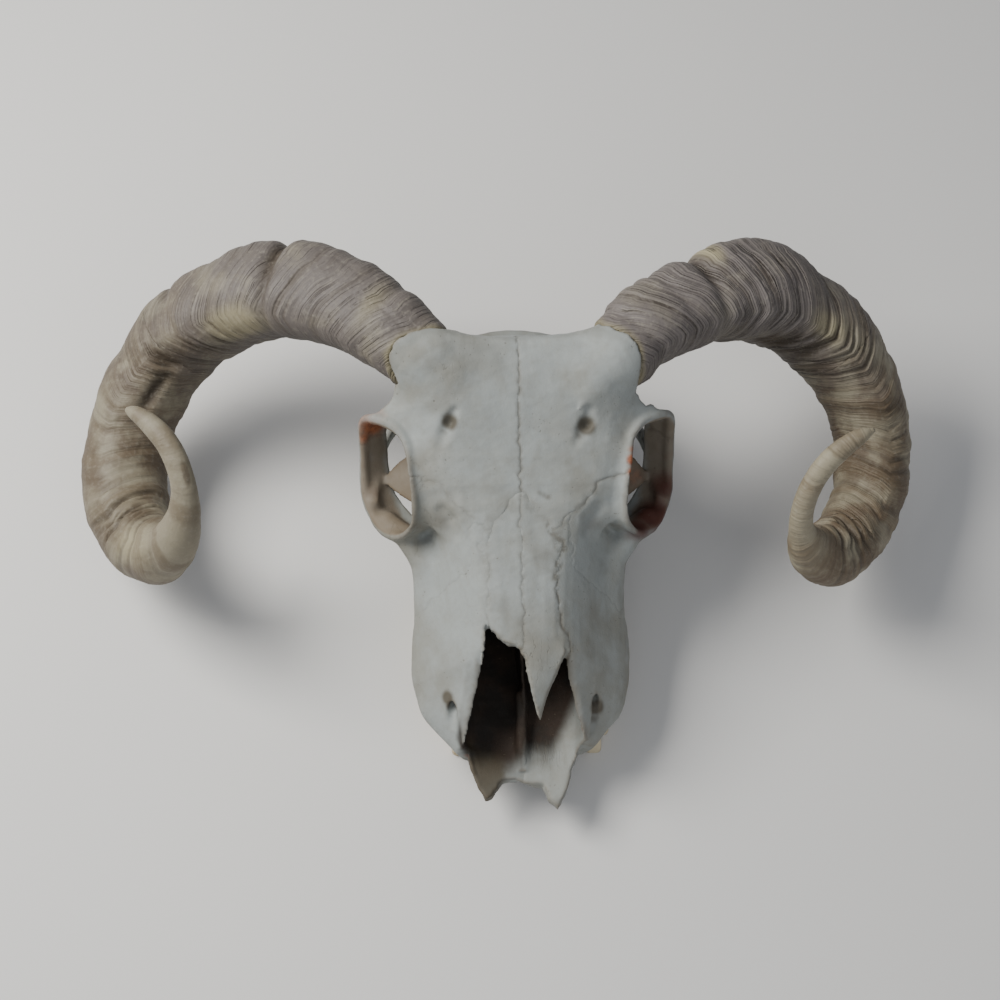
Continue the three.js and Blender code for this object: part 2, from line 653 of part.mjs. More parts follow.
const noForehead = whole.subtract(foreheadShare(GAP));
const middle = noForehead.subtract(cheekShare(1, GAP)).subtract(cheekShare(-1, GAP));
const front = middle.subtract(rearShare(GAP));
const rear = middle.intersect(rearShare(0));
const sides = [["left", 1], ["right", -1]];
for (const [name, side] of sides) {
  add(`frontal_${name}`, whole.intersect(foreheadShare(0)).intersect(halfOf(side)), bone);
  add(`cheekbone_${name}`, noForehead.intersect(cheekShare(side, 0)), bone);
  add(`maxilla_${name}`, front.intersect(halfOf(side)).add(toothRow(side)), bone);
}
add("nasal_left", nasalPair(0).intersect(leftPoint()), bone);
add("nasal_right", nasalPair(0).intersect(halfOf(-1)).subtract(rightBreak()), bone);
add("braincase", rear.subtract(occiputShare(GAP)), bone);
add("occipital", rear.intersect(occiputShare(0)), bone);
for (const [name, horn] of Object.entries(HORNS)) {
  const rings = hornRings(horn);
  const shares = growHorn(horn).map(({ u }) => u);
  const cuts = HORN_CUTS.map((c) => shares.findIndex((u) => Math.abs(u - c) < 0.003));
  ["base", "bend", "tip"].forEach((part, i) => {
    add(`horn_${name}_${part}`, hornLength(rings, cuts[i], cuts[i + 1]), keratin);
  });
}

// The origin: the middle of the skull's own box, on the surface that it lies on.
const box = new THREE.Box3().setFromObject(skull, true);
skull.position.set(-(box.min.x + box.max.x) / 2, -(box.min.y + box.max.y) / 2, -box.min.z);

export default skull;
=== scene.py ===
import math

import bpy
import numpy as np
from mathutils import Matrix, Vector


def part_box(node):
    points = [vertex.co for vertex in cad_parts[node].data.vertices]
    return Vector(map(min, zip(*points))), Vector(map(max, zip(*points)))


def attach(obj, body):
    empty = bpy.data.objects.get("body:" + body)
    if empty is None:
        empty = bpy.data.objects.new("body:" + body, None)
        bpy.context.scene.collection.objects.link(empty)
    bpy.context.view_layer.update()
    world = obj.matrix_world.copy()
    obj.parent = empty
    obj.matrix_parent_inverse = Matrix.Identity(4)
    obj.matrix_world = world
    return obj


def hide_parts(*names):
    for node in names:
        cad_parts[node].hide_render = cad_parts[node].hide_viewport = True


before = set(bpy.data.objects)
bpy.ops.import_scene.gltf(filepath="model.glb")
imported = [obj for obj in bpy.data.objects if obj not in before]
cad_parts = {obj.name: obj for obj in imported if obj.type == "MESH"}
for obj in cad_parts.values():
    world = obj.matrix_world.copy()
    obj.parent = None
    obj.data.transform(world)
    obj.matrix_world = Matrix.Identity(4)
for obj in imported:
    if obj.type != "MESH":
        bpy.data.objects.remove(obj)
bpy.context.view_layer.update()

import openvdb
from bpy.props import FloatProperty, FloatVectorProperty, IntProperty, PointerProperty
from bpy.types import Operator, Panel, PropertyGroup
from mathutils import Matrix, Vector

bl_info = {
    "name": "Ram skull",
    "version": (1, 0, 0),
    "blender": (4, 5, 0),
    "location": "View3D > Sidebar > Ram Skull",
    "description": "Builds a weathered ram skull with its horns, its stage and its lights",
    "category": "Object",
}

MM = 0.001

# ---- where the skull sits in the row frame ----
# Shapes are worked out in millimetres with x = 0 at the skull's middle and y = 0 at the nasal tip.
MUZZLE_FRONT = -26.5


def skull_origin():
    """The row-frame place, in millimetres, of the point that the shapes are worked out from."""
    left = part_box("maxilla_left")
    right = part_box("maxilla_right")
    middle = (left[0].x + right[1].x) / 2 / MM
    return np.array([middle, left[0].y / MM - MUZZLE_FRONT, 0.0])


ORIGIN = skull_origin()


# ---- numbers ----
def curve(*pairs):
    """A smooth function through (at, value) pairs, level beyond its ends, for numbers or arrays."""
    x = np.array([p[0] for p in pairs], float)
    v = np.array([p[1] for p in pairs], float)
    slope = np.empty(len(x))
    slope[1:-1] = (v[2:] - v[:-2]) / (x[2:] - x[:-2])
    slope[0] = (v[1] - v[0]) / (x[1] - x[0])
    slope[-1] = (v[-1] - v[-2]) / (x[-1] - x[-2])

    def at(t):
        t = np.clip(np.asarray(t, float), x[0], x[-1])
        i = np.clip(np.searchsorted(x, t, side="right") - 1, 0, len(x) - 2)
        h = x[i + 1] - x[i]
        s = (t - x[i]) / h
        s2, s3 = s * s, s * s * s
        a = (2 * s3 - 3 * s2 + 1) * v[i] + (s3 - 2 * s2 + s) * h * slope[i]
        return a + (3 * s2 - 2 * s3) * v[i + 1] + (s3 - s2) * h * slope[i + 1]

    return at


def smooth_noise(x, y, z, scale, seed):
    """Soft noise from -1 to 1 with features about scale across, from a few turned sine waves."""
    rng = np.random.default_rng(seed)
    total = 0.0
    for _ in range(6):
        d = rng.normal(size=3)
        d *= (0.7 + 0.6 * rng.random()) * 2 * math.pi / scale / np.linalg.norm(d)
        e = rng.normal(size=3)
        e *= 2 * math.pi / (scale * 1.7) / np.linalg.norm(e)
        bend = 1.3 * np.sin(e[0] * x + e[1] * y + e[2] * z + rng.random() * 6.3)
        total = total + np.sin(d[0] * x + d[1] * y + d[2] * z + rng.random() * 6.3 + bend)
    return total / 4.2


# ---- the block that the bones are carved from ----
LOW = np.array([-78.0, -34.0, -6.0])
HIGH = np.array([78.0, 202.0, 132.0])


class Clay:
    """Signed distances on a block of voxels, in millimetres, negative inside the bone."""

    def __init__(self, step):
        self.step = step
        self.first = np.floor(LOW / step).astype(int)
        self.shape = tuple(np.ceil((HIGH - LOW) / step).astype(int) + 1)
        self.axes = [(self.first[k] + np.arange(self.shape[k])) * step for k in range(3)]
        self.field = np.full(self.shape, 12.0, np.float32)

    def window(self, low, high, margin=8.0):
        """Slices of the block between two corners, and the coordinates there, shaped to combine."""
        cut = []
        for k in range(3):
            a = int((low[k] - margin) / self.step) - self.first[k]
            b = int((high[k] + margin) / self.step) - self.first[k] + 2
            cut.append(slice(max(a, 0), min(max(b, 1), self.shape[k])))
        x, y, z = (self.axes[k][cut[k]].astype(np.float32) for k in range(3))
        return tuple(cut), x[:, None, None], y[None, :, None], z[None, None, :]

    def half_window(self, side, inner, outer, low, high, margin):
        """The window on one side of the skull, from inner to outer across, between two (y, z) corners."""
        near, far = sorted((side * inner, side * outer))
        return self.window((near, *low), (far, *high), margin)

    def join(self, cut, d, soft=3.0):
        self.field[cut] = soft_min(self.field[cut], d.astype(np.float32), soft)

    def carve(self, cut, d, soft=1.0):
        self.field[cut] = -soft_min(-self.field[cut], d.astype(np.float32), soft)

    def from_mesh(self, points, triangles, band=12.0):
        """Distances to a closed mesh given in millimetres."""
        grid = openvdb.FloatGrid.createLevelSetFromPolygons(
            np.ascontiguousarray(points, np.float32),
            triangles=np.ascontiguousarray(triangles, np.uint32),
            transform=openvdb.createLinearTransform(voxelSize=self.step),
            halfWidth=band / self.step,
        )
        out = np.empty(self.shape, np.float32)
        grid.copyToArray(out, ijk=tuple(int(v) for v in self.first))
        return out


def soft_min(a, b, k):
    h = np.maximum(k - np.abs(a - b), 0.0) / k
    return np.minimum(a, b) - h * h * k * 0.25


def spline_step(a, b, c, d, s):
    """The place at share s of the way from b to c on a smooth line through all four."""
    return 0.5 * (2 * b + (c - a) * s + (2 * a - 5 * b + 4 * c - d) * s**2 + (3 * b - a - 3 * c + d) * s**3)


def closed_spline(points, count):
    """A closed smooth line through points, with count evenly spaced points on it."""
    p = np.asarray(points, float)
    n = len(p)
    t = np.linspace(0, n, n * 12, endpoint=False)
    i = t.astype(int)
    s = (t - i)[:, None]
    fine = spline_step(p[(i - 1) % n], p[i % n], p[(i + 1) % n], p[(i + 2) % n], s)
    step = np.linalg.norm((np.roll(fine, -1, 0) - fine)[:, :3], axis=1)
    along = np.concatenate([[0], np.cumsum(step)])
    at = np.linspace(0, along[-1], count, endpoint=False)
    wrapped = np.vstack([fine, fine[:1]])
    return np.stack([np.interp(at, along, wrapped[:, k]) for k in range(p.shape[1])], 1)


def half_ring(y, half, count=56):
    """A ring across the skull at y from half-outline points (x, z), from the top round to the bottom."""
    left = [(x, y, z) for x, z in half]
    right = [(-x, y, z) for x, z in half[1:-1][::-1]]
    return closed_spline(left + right, count)


def loft(rings):
    """Points and triangles of a closed skin over rings of equal counts."""
    rings = np.asarray(rings)
    m, n = rings.shape[:2]
    points = np.vstack([rings.reshape(-1, 3), rings[0].mean(0), rings[-1].mean(0)])
    i, j = np.meshgrid(np.arange(m - 1), np.arange(n), indexing="ij")
    a, b = i * n + j, i * n + (j + 1) % n
    c, d = a + n, b + n
    side = np.concatenate([np.stack([a, b, d], -1).reshape(-1, 3), np.stack([a, d, c], -1).reshape(-1, 3)])
    k = np.arange(n)
    first = np.stack([np.full(n, m * n), (k + 1) % n, k], 1)
    base = (m - 1) * n
    last = np.stack([np.full(n, m * n + 1), base + k, base + (k + 1) % n], 1)
    return points, np.concatenate([side, first, last])


def ring_quads(rings, count):
    """The quads between neighbouring rings of count points each."""
    i, j = np.meshgrid(np.arange(rings - 1), np.arange(count), indexing="ij")
    p, q = i * count + j, i * count + (j + 1) % count
    return np.stack([p, q, q + count, p + count], -1).reshape(-1, 4)


def polygon_distance(x, y, corners):
    """Signed distance to a flat outline, negative inside."""
    p = np.asarray(corners, float)
    best = np.full(np.broadcast(x, y).shape, 1e9)
    sign = np.ones(best.shape)
    for k in range(len(p)):
        ax, ay = p[k - 1]
        bx, by = p[k]
        ex, ey = bx - ax, by - ay
        wx, wy = x - ax, y - ay
        t = np.clip((wx * ex + wy * ey) / (ex * ex + ey * ey), 0, 1)
        best = np.minimum(best, (wx - ex * t) ** 2 + (wy - ey * t) ** 2)
        c1, c2 = y >= ay, y < by
        c3 = ex * wy > ey * wx
        flip = (c1 & c2 & c3) | (~c1 & ~c2 & ~c3)
        sign = np.where(flip, -sign, sign)
    return sign * np.sqrt(best)


# ---- the lines of the skull, each a height or half-width along y ----
ROOF = curve((-30, 38), (0, 54), (20, 63.5), (45, 74), (70, 83), (87, 90), (105, 99.5), (125, 112),
             (140, 119.5), (146, 121), (150, 117), (156, 106))
RIM_TOP = curve((-28, 20.5), (-14, 29), (0, 40), (14, 50), (22, 57), (28, 63.6), (32, 68.5), (38, 75))
RIM_HALF = curve((-28, 14.5), (-20, 19.5), (-6, 23.5), (8, 21), (20, 17.6), (32, 15.6), (48, 15.5))
NASAL_HALF = curve((0, 6), (14, 11), (24, 17.5), (34, 15.8), (58, 15.2), (72, 19), (80, 15), (88, 4))
ROOF_HALF = curve((-28, 14), (-6, 23), (20, 18), (34, 17), (50, 17), (75, 22), (90, 30), (108, 36))
CHEEK_HALF = curve((-28, 16.5), (-20, 19.5), (-8, 24), (0, 31), (6, 36.5), (14, 43), (24, 46), (36, 47.5),
                   (48, 46.5), (60, 44.7), (72, 44.5), (82, 45), (94, 40), (108, 31))
CHEEK_HEIGHT = curve((-28, 19), (0, 26), (20, 30), (40, 34), (60, 42), (80, 49), (108, 54))
JAW_HALF = curve((-28, 12), (-12, 17), (2, 25), (14, 34.5), (40, 37.5), (70, 38), (90, 34), (108, 20))
JAW_HEIGHT = curve((-28, 17), (-12, 14.5), (4, 14), (80, 14), (94, 17), (108, 36))
# Where along y the passage of the nose goes under the roof.
PASSAGE_MOUTH = 26
PALATE = curve((-28, 18), (-10, 17), (10, 18), (60, 20), (92, 22), (108, 40))
FOREHEAD_HALF = curve((74, 22), (84, 43), (90, 46), (98, 48.5), (106, 50), (112, 53), (118, 60), (122, 63),
                      (126, 59), (132, 50.5), (140, 49.5), (147, 48), (156, 38))
FOREHEAD_THICK = curve((74, 9), (90, 13), (110, 15), (130, 24), (150, 34), (156, 30))
FOREHEAD_DROP = curve((74, 8), (98, 6), (108, 7), (120, 17), (126, 16), (134, 12), (156, 16))
BRAIN_HALF = curve((100, 20), (112, 27), (126, 33), (140, 36), (154, 35), (166, 30), (172, 24))
BRAIN_TOP = curve((100, 92), (126, 106), (144, 112), (152, 111), (160, 98), (168, 82), (172, 74))
BRAIN_BOTTOM = curve((100, 52), (126, 46), (150, 42), (172, 42))

SOCKET_AXIS = np.array([0.843, -0.399, 0.363])
SOCKET_CENTRE = np.array([57.3, 101.0, 78.0])
EYE_RIM = np.array([
    (48.5, 98, 94), (49.8, 109.6, 97.3), (56, 119, 97.3), (66, 124, 92.3), (67.5, 121.5, 80), (67.5, 112, 68),
    (66.5, 101, 61.5), (60.5, 88, 60.5), (53, 80.5, 67), (47.5, 80, 79), (47, 88, 88),
], float)
RIM_DEPTH = np.array([8, 8, 10, 13, 13.5, 14, 16, 19, 19, 13, 9], float)
RIM_LIP = np.array([0.3, 0.5, 1.2, 1.7, 1.7, 1.7, 1.7, 1.6, 1.2, 0.6, 0.3], float)


def muzzle_rings():
    """The outside of the face, which sinks to the open nose's rim in front."""
    rings = []
    for y in np.linspace(-27, 108, 70):
        mouth = np.clip((32 - y) / 8, 0, 1)
        roof, rim, half = ROOF(y), RIM_TOP(y), ROOF_HALF(y)
        sink = 7 * np.clip((y - 84) / 20, 0, 1)
        top = roof * (1 - mouth) + min(rim + 5, roof) * mouth - sink
        shoulder = (roof - 2.5) * (1 - mouth) + min(rim + 2, roof - 2.5) * mouth - sink
        cheek, low = CHEEK_HALF(y), CHEEK_HEIGHT(y)
        jaw, bottom = JAW_HALF(y), JAW_HEIGHT(y)
        rings.append(half_ring(y, [
            (0, top), (half, shoulder),
            (half * 0.4 + cheek * 0.6 + 0.5, shoulder * 0.45 + low * 0.55),
            (cheek, low), (jaw, bottom + 1), (jaw * 0.66, bottom), (0, PALATE(y)),
        ]))
    return rings


def passage_rings():
    """The hollow of the nose, open upwards where the roof is broken away."""
    rings = []
    for y in np.linspace(-40, 88, 60):
        if y < PASSAGE_MOUTH:
            high, edge = RIM_HALF(y), RIM_TOP(y)
            top = edge + 2 + 10 * np.clip((25 - y) / 6, 0, 1)
        else:
            high, edge = max(RIM_HALF(y) - max(0, y - 60) * 0.2, 9), ROOF(y) - 6
            top = ROOF(y) - 2.5 - max(0, y - 62) * 0.45
        floor = PALATE(max(y, -12)) + 4.5
        wide = max(min(CHEEK_HALF(y) - 6, 25 - max(0, y - 50) * 0.3), high + 0.5)
        rings.append(half_ring(y, [
            (0, top), (high, edge + 1), (wide, (edge + floor) / 2),
            (wide * 0.8, floor + 2), (0, floor),
        ], 40))
    return rings


def forehead_rings():
    """The forehead with the brows, dipping slightly along the middle towards the crest."""
    rings = []
    for y in np.linspace(74, 156, 70):
        top, w = ROOF(y) - 7 * np.clip((92 - y) / 18, 0, 1), FOREHEAD_HALF(y)
        drop, thick = FOREHEAD_DROP(y), FOREHEAD_THICK(y)
        edge = top - drop
        dip = np.clip((y - 126) / 16, 0, 1) * 1.7
        rings.append(half_ring(y, [
            (0, top - dip), (min(w * 0.6, 30), top - 1 + dip), (w * 0.88, edge + drop * 0.28),
            (w, edge), (w * 0.93, edge - 3.5), (min(w * 0.7, 36), top - thick), (0, top - thick - 3),
        ]))
    return rings


def brain_rings():
    rings = []
    for y in np.linspace(100, 172, 40):
        half, top, bottom = BRAIN_HALF(y), BRAIN_TOP(y), BRAIN_BOTTOM(y)
        rings.append(half_ring(y, [
            (0, top), (half * 0.75, top * 0.82 + bottom * 0.18), (half, (top + bottom) / 2),
            (half * 0.7, bottom + 6), (0, bottom),
        ]))
    return rings


# The back of the head: y, half-width, top and bottom.
OCCIPUT = [(158, 27, 90, 46), (165, 33, 85, 40), (171, 35, 80.5, 33), (176, 33, 74, 31), (181, 25, 62, 31),
           (185, 15, 54, 31)]


def occiput_rings():
    lines = [curve(*[(row[0], row[k]) for row in OCCIPUT]) for k in (1, 2, 3)]
    rings = []
    for y in np.linspace(158, 185, 24):
        half, top, bottom = (line(y) for line in lines)
        rings.append(half_ring(y, [
            (0, top), (half * 0.62, top - 4), (half, (top + bottom) / 2 + 2),
            (half * 0.8, bottom + 6), (0, bottom),
        ]))
    return rings


# ---- primitives ----
def ellipsoid(x, y, z, centre, radii):
    u, v, w = ((p - c) / r for p, c, r in zip((x, y, z), centre, radii))
    k0 = np.sqrt(u * u + v * v + w * w) + 1e-6
    k1 = np.sqrt((u / radii[0]) ** 2 + (v / radii[1]) ** 2 + (w / radii[2]) ** 2) + 1e-6
    return k0 * (k0 - 1) / k1


def tube_distance(x, y, z, points, radii):
    """Distance to a round limb through points, with half-widths that change evenly between them."""
    best = None
    for (a, ra), (b, rb) in zip(zip(points[:-1], radii[:-1]), zip(points[1:], radii[1:])):
        e = np.subtract(b, a)
        wx, wy, wz = x - a[0], y - a[1], z - a[2]
        t = np.clip((wx * e[0] + wy * e[1] + wz * e[2]) / float(e @ e), 0, 1)
        d = np.sqrt((wx - t * e[0]) ** 2 + (wy - t * e[1]) ** 2 + (wz - t * e[2]) ** 2) - (ra + (rb - ra) * t)
        best = d if best is None else np.minimum(best, d)
    return best


def band_distance(x, y, z, centres, out_axes, half_out, half_thick, closed=False):
    """Distance to a flat band that follows centres: half_out along its own axis, half_thick across it."""
    p = np.asarray(centres, float)
    n = len(p)
    ahead = np.roll(p, -1, 0) - np.roll(p, 1, 0)
    if not closed:
        ahead[0], ahead[-1] = p[1] - p[0], p[-1] - p[-2]
    ahead /= np.linalg.norm(ahead, axis=1)[:, None]
    out = np.broadcast_to(np.asarray(out_axes, float), p.shape)
    out = out - ahead * (out * ahead).sum(1)[:, None]
    out /= np.linalg.norm(out, axis=1)[:, None]
    across = np.cross(ahead, out)
    half_out = np.broadcast_to(np.asarray(half_out, float), (n,))
    half_thick = np.broadcast_to(np.asarray(half_thick, float), (n,))
    shape = np.broadcast(x, y, z).shape
    best = np.full(shape, 1e9, np.float32)
    which = np.zeros(shape, np.int16)
    for k in range(n):
        d = (x - p[k, 0]) ** 2 + (y - p[k, 1]) ** 2 + (z - p[k, 2]) ** 2
        near = d < best
        best = np.where(near, d, best).astype(np.float32)
        which = np.where(near, k, which).astype(np.int16)
    q = [c - p[which, k] for k, c in enumerate((x, y, z))]
    u = np.abs(sum(q[k] * out[which, k] for k in range(3)))
    v = np.abs(sum(q[k] * across[which, k] for k in range(3)))
    w = sum(q[k] * ahead[which, k] for k in range(3))
    ends = np.zeros(shape)
    if not closed:
        ends = np.where(which == 0, -w, np.where(which == n - 1, w, 0.0)).clip(0)
    ho, ht = half_out[which], half_thick[which]
    round_by = np.minimum(ho, ht) * 0.85
    qu, qv = u - ho + round_by, v - ht + round_by
    outside = np.sqrt(np.maximum(qu, 0) ** 2 + np.maximum(qv, 0) ** 2 + ends**2)
    return outside + np.minimum(np.maximum(qu, qv), 0) - round_by


def along(points, count):
    """Evenly spaced points on an open smooth line."""
    p = np.asarray(points, float)
    q = np.vstack([2 * p[0] - p[1], p, 2 * p[-1] - p[-2]])
    t = np.linspace(0, len(p) - 1 - 1e-6, len(p) * 12)
    i = t.astype(int)
    s = (t - i)[:, None]
    fine = spline_step(q[i], q[i + 1], q[i + 2], q[i + 3], s)
    run = np.concatenate([[0], np.cumsum(np.linalg.norm(np.diff(fine, axis=0), axis=1))])
    at = np.linspace(0, run[-1], count)
    return np.stack([np.interp(at, run, fine[:, k]) for k in range(3)], 1)


def mirrored(points, side):
    return [(side * x, y, z) for x, y, z in points]


# ---- carving the skull ----
def lay_down_masses(clay):
    """The great masses: face, forehead, braincase, base and back of the head."""
    solids = [loft(r()) for r in (muzzle_rings, forehead_rings, brain_rings, occiput_rings)]
    for points, triangles in solids:
        clay.field = soft_min(clay.field, clay.from_mesh(points, triangles), 5.0)


PRONGS = [(-60, -3), (-23.6, -3), (-22.3, -10), (-20, -16.5), (-16.5, -22.3), (-13.5, -20.5), (-10.3, -15),
          (-8.9, -13.2), (-4, -12.8), (3, -15.2), (8, -16), (10.2, -22.3), (14.2, -26.5), (17.5, -20.5),
          (20.9, -8.7), (23.8, -1.5), (60, -1.5), (60, -60), (-60, -60)]


def open_muzzle(clay):
    """Cuts the face down to the open nose, with the notch between the two front prongs, and hollows it."""
    cut, x, y, z = clay.window((-60, -34, -4), (60, 42, 90), 0)
    above = (RIM_TOP(y) - z) * 0.85 + 0.3 * smooth_noise(x, y, z, 7, 3)
    clay.carve(cut, np.maximum(above, y - 37.0), 0.8)
    lost = polygon_distance(x, y, PRONGS) + 0.35 * smooth_noise(x, y, z, 5, 4)
    clay.carve(cut, lost + 0 * z, 0.8)
    points, triangles = loft(passage_rings())
    passage = clay.from_mesh(points, triangles)
    clay.field = -soft_min(-clay.field, passage, 1.0)
    # The mask of shade painted inside the nose: under the nasal roof, further back and further below the rim;
    # on the animal's right, whose wall faces away from the key light, it comes within a few millimetres of
    # the rim.
    x, y, z = clay.axes[0][:, None, None], clay.axes[1][None, :, None], clay.axes[2][None, None, :]
    bow = np.minimum(np.abs(x) / np.maximum(NASAL_HALF(y), 6), 1.15)
    under = np.clip((ROOF(y) - 1.4 - 2.8 * bow**2 - z) / 1.4, 0, 1)
    inward = np.clip((y + np.where(x < 0, 20, 15) - np.maximum(x - 12, 0) * 2.2) / 22, 0, 1)
    deep = np.clip((RIM_TOP(np.minimum(y, 38)) + 1.0 - z) / np.where(x < 0, 4, 12), 0.1, 1)
    clay.nose = np.clip(1.45 - passage / 3, 0, 1) * under * inward * np.where(y > 36, 1, deep)
    clay.eye = np.zeros(clay.shape, np.float32)


# Lines round the eye socket on the animal's left: the way down behind it, the ridge in front, the arch
# behind and the thin shelf inside.
TEMPLE_WAY = ((50, 112, 88), (49, 124, 66), (45, 132, 30))
FACE_RIDGE = ((38, 50, 39), (38.5, 64, 46), (41, 75, 54), (49, 84, 60), (56, 92, 60))
CHEEK_ARCH = ((62, 100, 59.5), (61.5, 110, 58.5), (61, 120, 58), (55.5, 136, 57.5), (47, 149, 57),
              (36, 157, 57))
SOCKET_SHELF = ((38, 104.5, 73), (47, 108, 69), (57.8, 111.8, 61))


def place_eye_sockets(clay):
    """The hollow for each eye, open to the side, with the way down behind it to the temple."""
    for side in (1, -1):
        rings = []
        for out, size in ((14, 1.02), (4, 0.96), (0, 0.92), (-9, 0.93), (-20, 0.8), (-29, 0.5), (-33, 0.2)):
            ring = SOCKET_CENTRE + (EYE_RIM - SOCKET_CENTRE) * size + SOCKET_AXIS * out
            rings.append(closed_spline(ring * [side, 1, 1], 48))
        points, triangles = loft(rings)
        if side < 0:
            triangles = triangles[:, ::-1]
        socket = clay.from_mesh(points, triangles)
        clay.field = -soft_min(-clay.field, socket, 1.6)
        clay.eye = np.maximum(clay.eye, np.clip(1.3 - socket / 1.6, 0, 1))
        cut, x, y, z = clay.half_window(side, 0, 70, (95, 10), (150, 100), 6)
        clay.carve(cut, tube_distance(x, y, z, mirrored(TEMPLE_WAY, side), (7, 9.2, 11.5)), 3.0)


def add_cheekbones(clay):
    """The band round each eye, the ridge in front of it, the arch behind and the thin shelf inside."""
    for side in (1, -1):
        cut, x, y, z = clay.half_window(side, 25, 74, (40, 36), (164, 104), 4)
        edge = closed_spline(np.hstack([EYE_RIM, RIM_DEPTH[:, None], RIM_LIP[:, None]]), 120)
        lip = np.maximum(edge[:, 4], 0.2)
        sink = SOCKET_AXIS * (1.7 - lip[:, None])
        inner = edge[:, :3] - SOCKET_AXIS * edge[:, 3:4] / 2 - sink
        thick = 0.55 + 0.35 * lip + 0.15 * np.sin(np.linspace(0, 4 * math.pi, 120))
        band = band_distance(x, y, z, inner * [side, 1, 1], SOCKET_AXIS * [side, 1, 1], edge[:, 3] / 2, thick,
                             closed=True)
        clay.join(cut, band, 2.2)
        bead = (edge[:, :3] - SOCKET_AXIS * 1.6 - sink) * [side, 1, 1]
        clay.join(cut, tube_distance(x, y, z, np.vstack([bead, bead[:1]]), [*lip, lip[0]]), 2.0)
        ridge = mirrored(FACE_RIDGE, side)
        clay.join(cut, tube_distance(x, y, z, ridge, (5.4, 5.8, 5.6, 4.6, 3.6)), 5.0)
        arch = along(mirrored(CHEEK_ARCH, side), 60)
        height = curve((0, 4.4), (0.35, 4.2), (0.6, 3.9), (0.8, 4.8), (1, 7))(np.linspace(0, 1, 60))
        clay.join(cut, band_distance(x, y, z, arch, (0, 0, 1), height, height * 0.42), 3.5)
        shelf = along(mirrored(SOCKET_SHELF, side), 24)
        wide = curve((0, 12.5), (0.5, 9.0), (0.9, 2.6), (1, 0.9))(np.linspace(0, 1, 24))
        clay.join(cut, band_distance(x, y, z, shelf, (0, 0.88, 0.47), wide, 0.8), 1.6)


def add_base(clay):
    """The bones under the brain, the thin wings behind the palate, the ear bubbles and the condyles."""
    cut, x, y, z = clay.window((-48, 88, 6), (48, 200, 80), 4)
    floor = along([(0, 104, 44), (0, 130, 46), (0, 156, 42), (0, 186, 34)], 40)
    clay.join(cut, band_distance(x, y, z, floor, (1, 0, 0), 12.0, 8.0), 6.0)
    for side in (1, -1):
        wing = along([(side * 15, 96, 27), (side * 14, 110, 29), (side * 12.5, 124, 40)], 20)
        clay.join(cut, band_distance(x, y, z, wing, (0, -0.4, 1), (9.0,) * 20, 1.3), 4.0)
        clay.join(cut, ellipsoid(x, y, z, (side * 20, 158, 34), (8.6, 12.5, 11.2)), 2.5)
        clay.join(cut, tube_distance(x, y, z, [(side * 25, 158, 44), (side * 40, 161, 49)], (7, 5.4)), 3.0)
        clay.carve(cut, tube_distance(x, y, z, [(side * 27, 159, 45), (side * 46, 162, 50)], (2.2, 3.2)), 1.0)
        clay.join(cut, ellipsoid(x, y, z, (side * 31, 164, 56), (8, 10, 16)), 7.0)
        clay.join(cut, ellipsoid(x, y, z, (side * 13, 185, 38), (8.2, 9.2, 11.8)), 2.0)
        clay.join(cut, ellipsoid(x, y, z, (side * 7.5, 160, 33), (3.6, 7, 3.4)), 4.0)
    crest = along([(-33, 168, 58), (-25, 170, 72), (0, 171.5, 79.5), (25, 170, 72), (33, 168, 58)], 60)
    clay.join(cut, band_distance(x, y, z, crest, (0, 1, 0.4), 3.6, 1.4), 6.0)
    hole = tube_distance(x, y, z, [(0, 172, 52), (0, 205, 43)], (9.0, 9.6))
    clay.carve(cut, hole, 1.5)


def add_ear_processes(clay):
    """The pair of long processes beside the condyles, which the back of the skull rests on."""
    for side in (1, -1):
        cut, x, y, z = clay.half_window(side, 18, 40, (164, -4), (190, 52), 2)
        line = along([(side * 29, 174, 44), (side * 28.5, 176, 22), (side * 26, 174, -5)], 30)
        wide = curve((0, 8.4), (0.5, 7.0), (1, 4.2))(np.linspace(0, 1, 30))
        clay.join(cut, band_distance(x, y, z, line, (0, 1, 0), wide, wide * 0.5), 3.5)


def cut_throat(clay):
    cut, x, y, z = clay.window((-20, 66, 14), (20, 138, 46), 4)
    throat = tube_distance(x / 1.2, y, z, [(0, 78, 32), (0, 104, 31), (0, 126, 29)], (8, 9, 8))
    clay.carve(cut, throat, 2.0)


# ---- nasal bones ----
NASAL_THICK = 2.8
# What is snapped off on the animal's right, and what is kept on its left, seen from above.
RIGHT_BREAK = [(1, 24), (-1.2, 26.5), (-2.4, 28.6), (-5, 29.4), (-7.4, 30.0), (-9.4, 31.4), (-11.2, 33.4),
               (-12.6, 35), (-14, 36.4), (-15.6, 38.0), (-16.2, 32), (-17.4, 24), (-18.6, 14), (-18.6, -30),
               (1, -30)]
LEFT_POINT = [(-0.9, 100), (-0.9, 29), (0.1, 26), (1.3, 20), (3.2, 10), (5.2, 3.6), (6.3, 1.6), (7.3, 1.4),
              (8.3, 3.4), (9.6, 8.6), (11.4, 14.4), (13.6, 18.6), (16, 23.4), (17.8, 27.5), (18.8, 31),
              (30, 34), (30, 100)]
# The side view of the upright plate in the nose.
SEPTUM = [(-2, 20), (1, 26), (10, 29), (20, 33), (32, 44), (44, 60), (60, 78), (84, 86), (84, 20)]


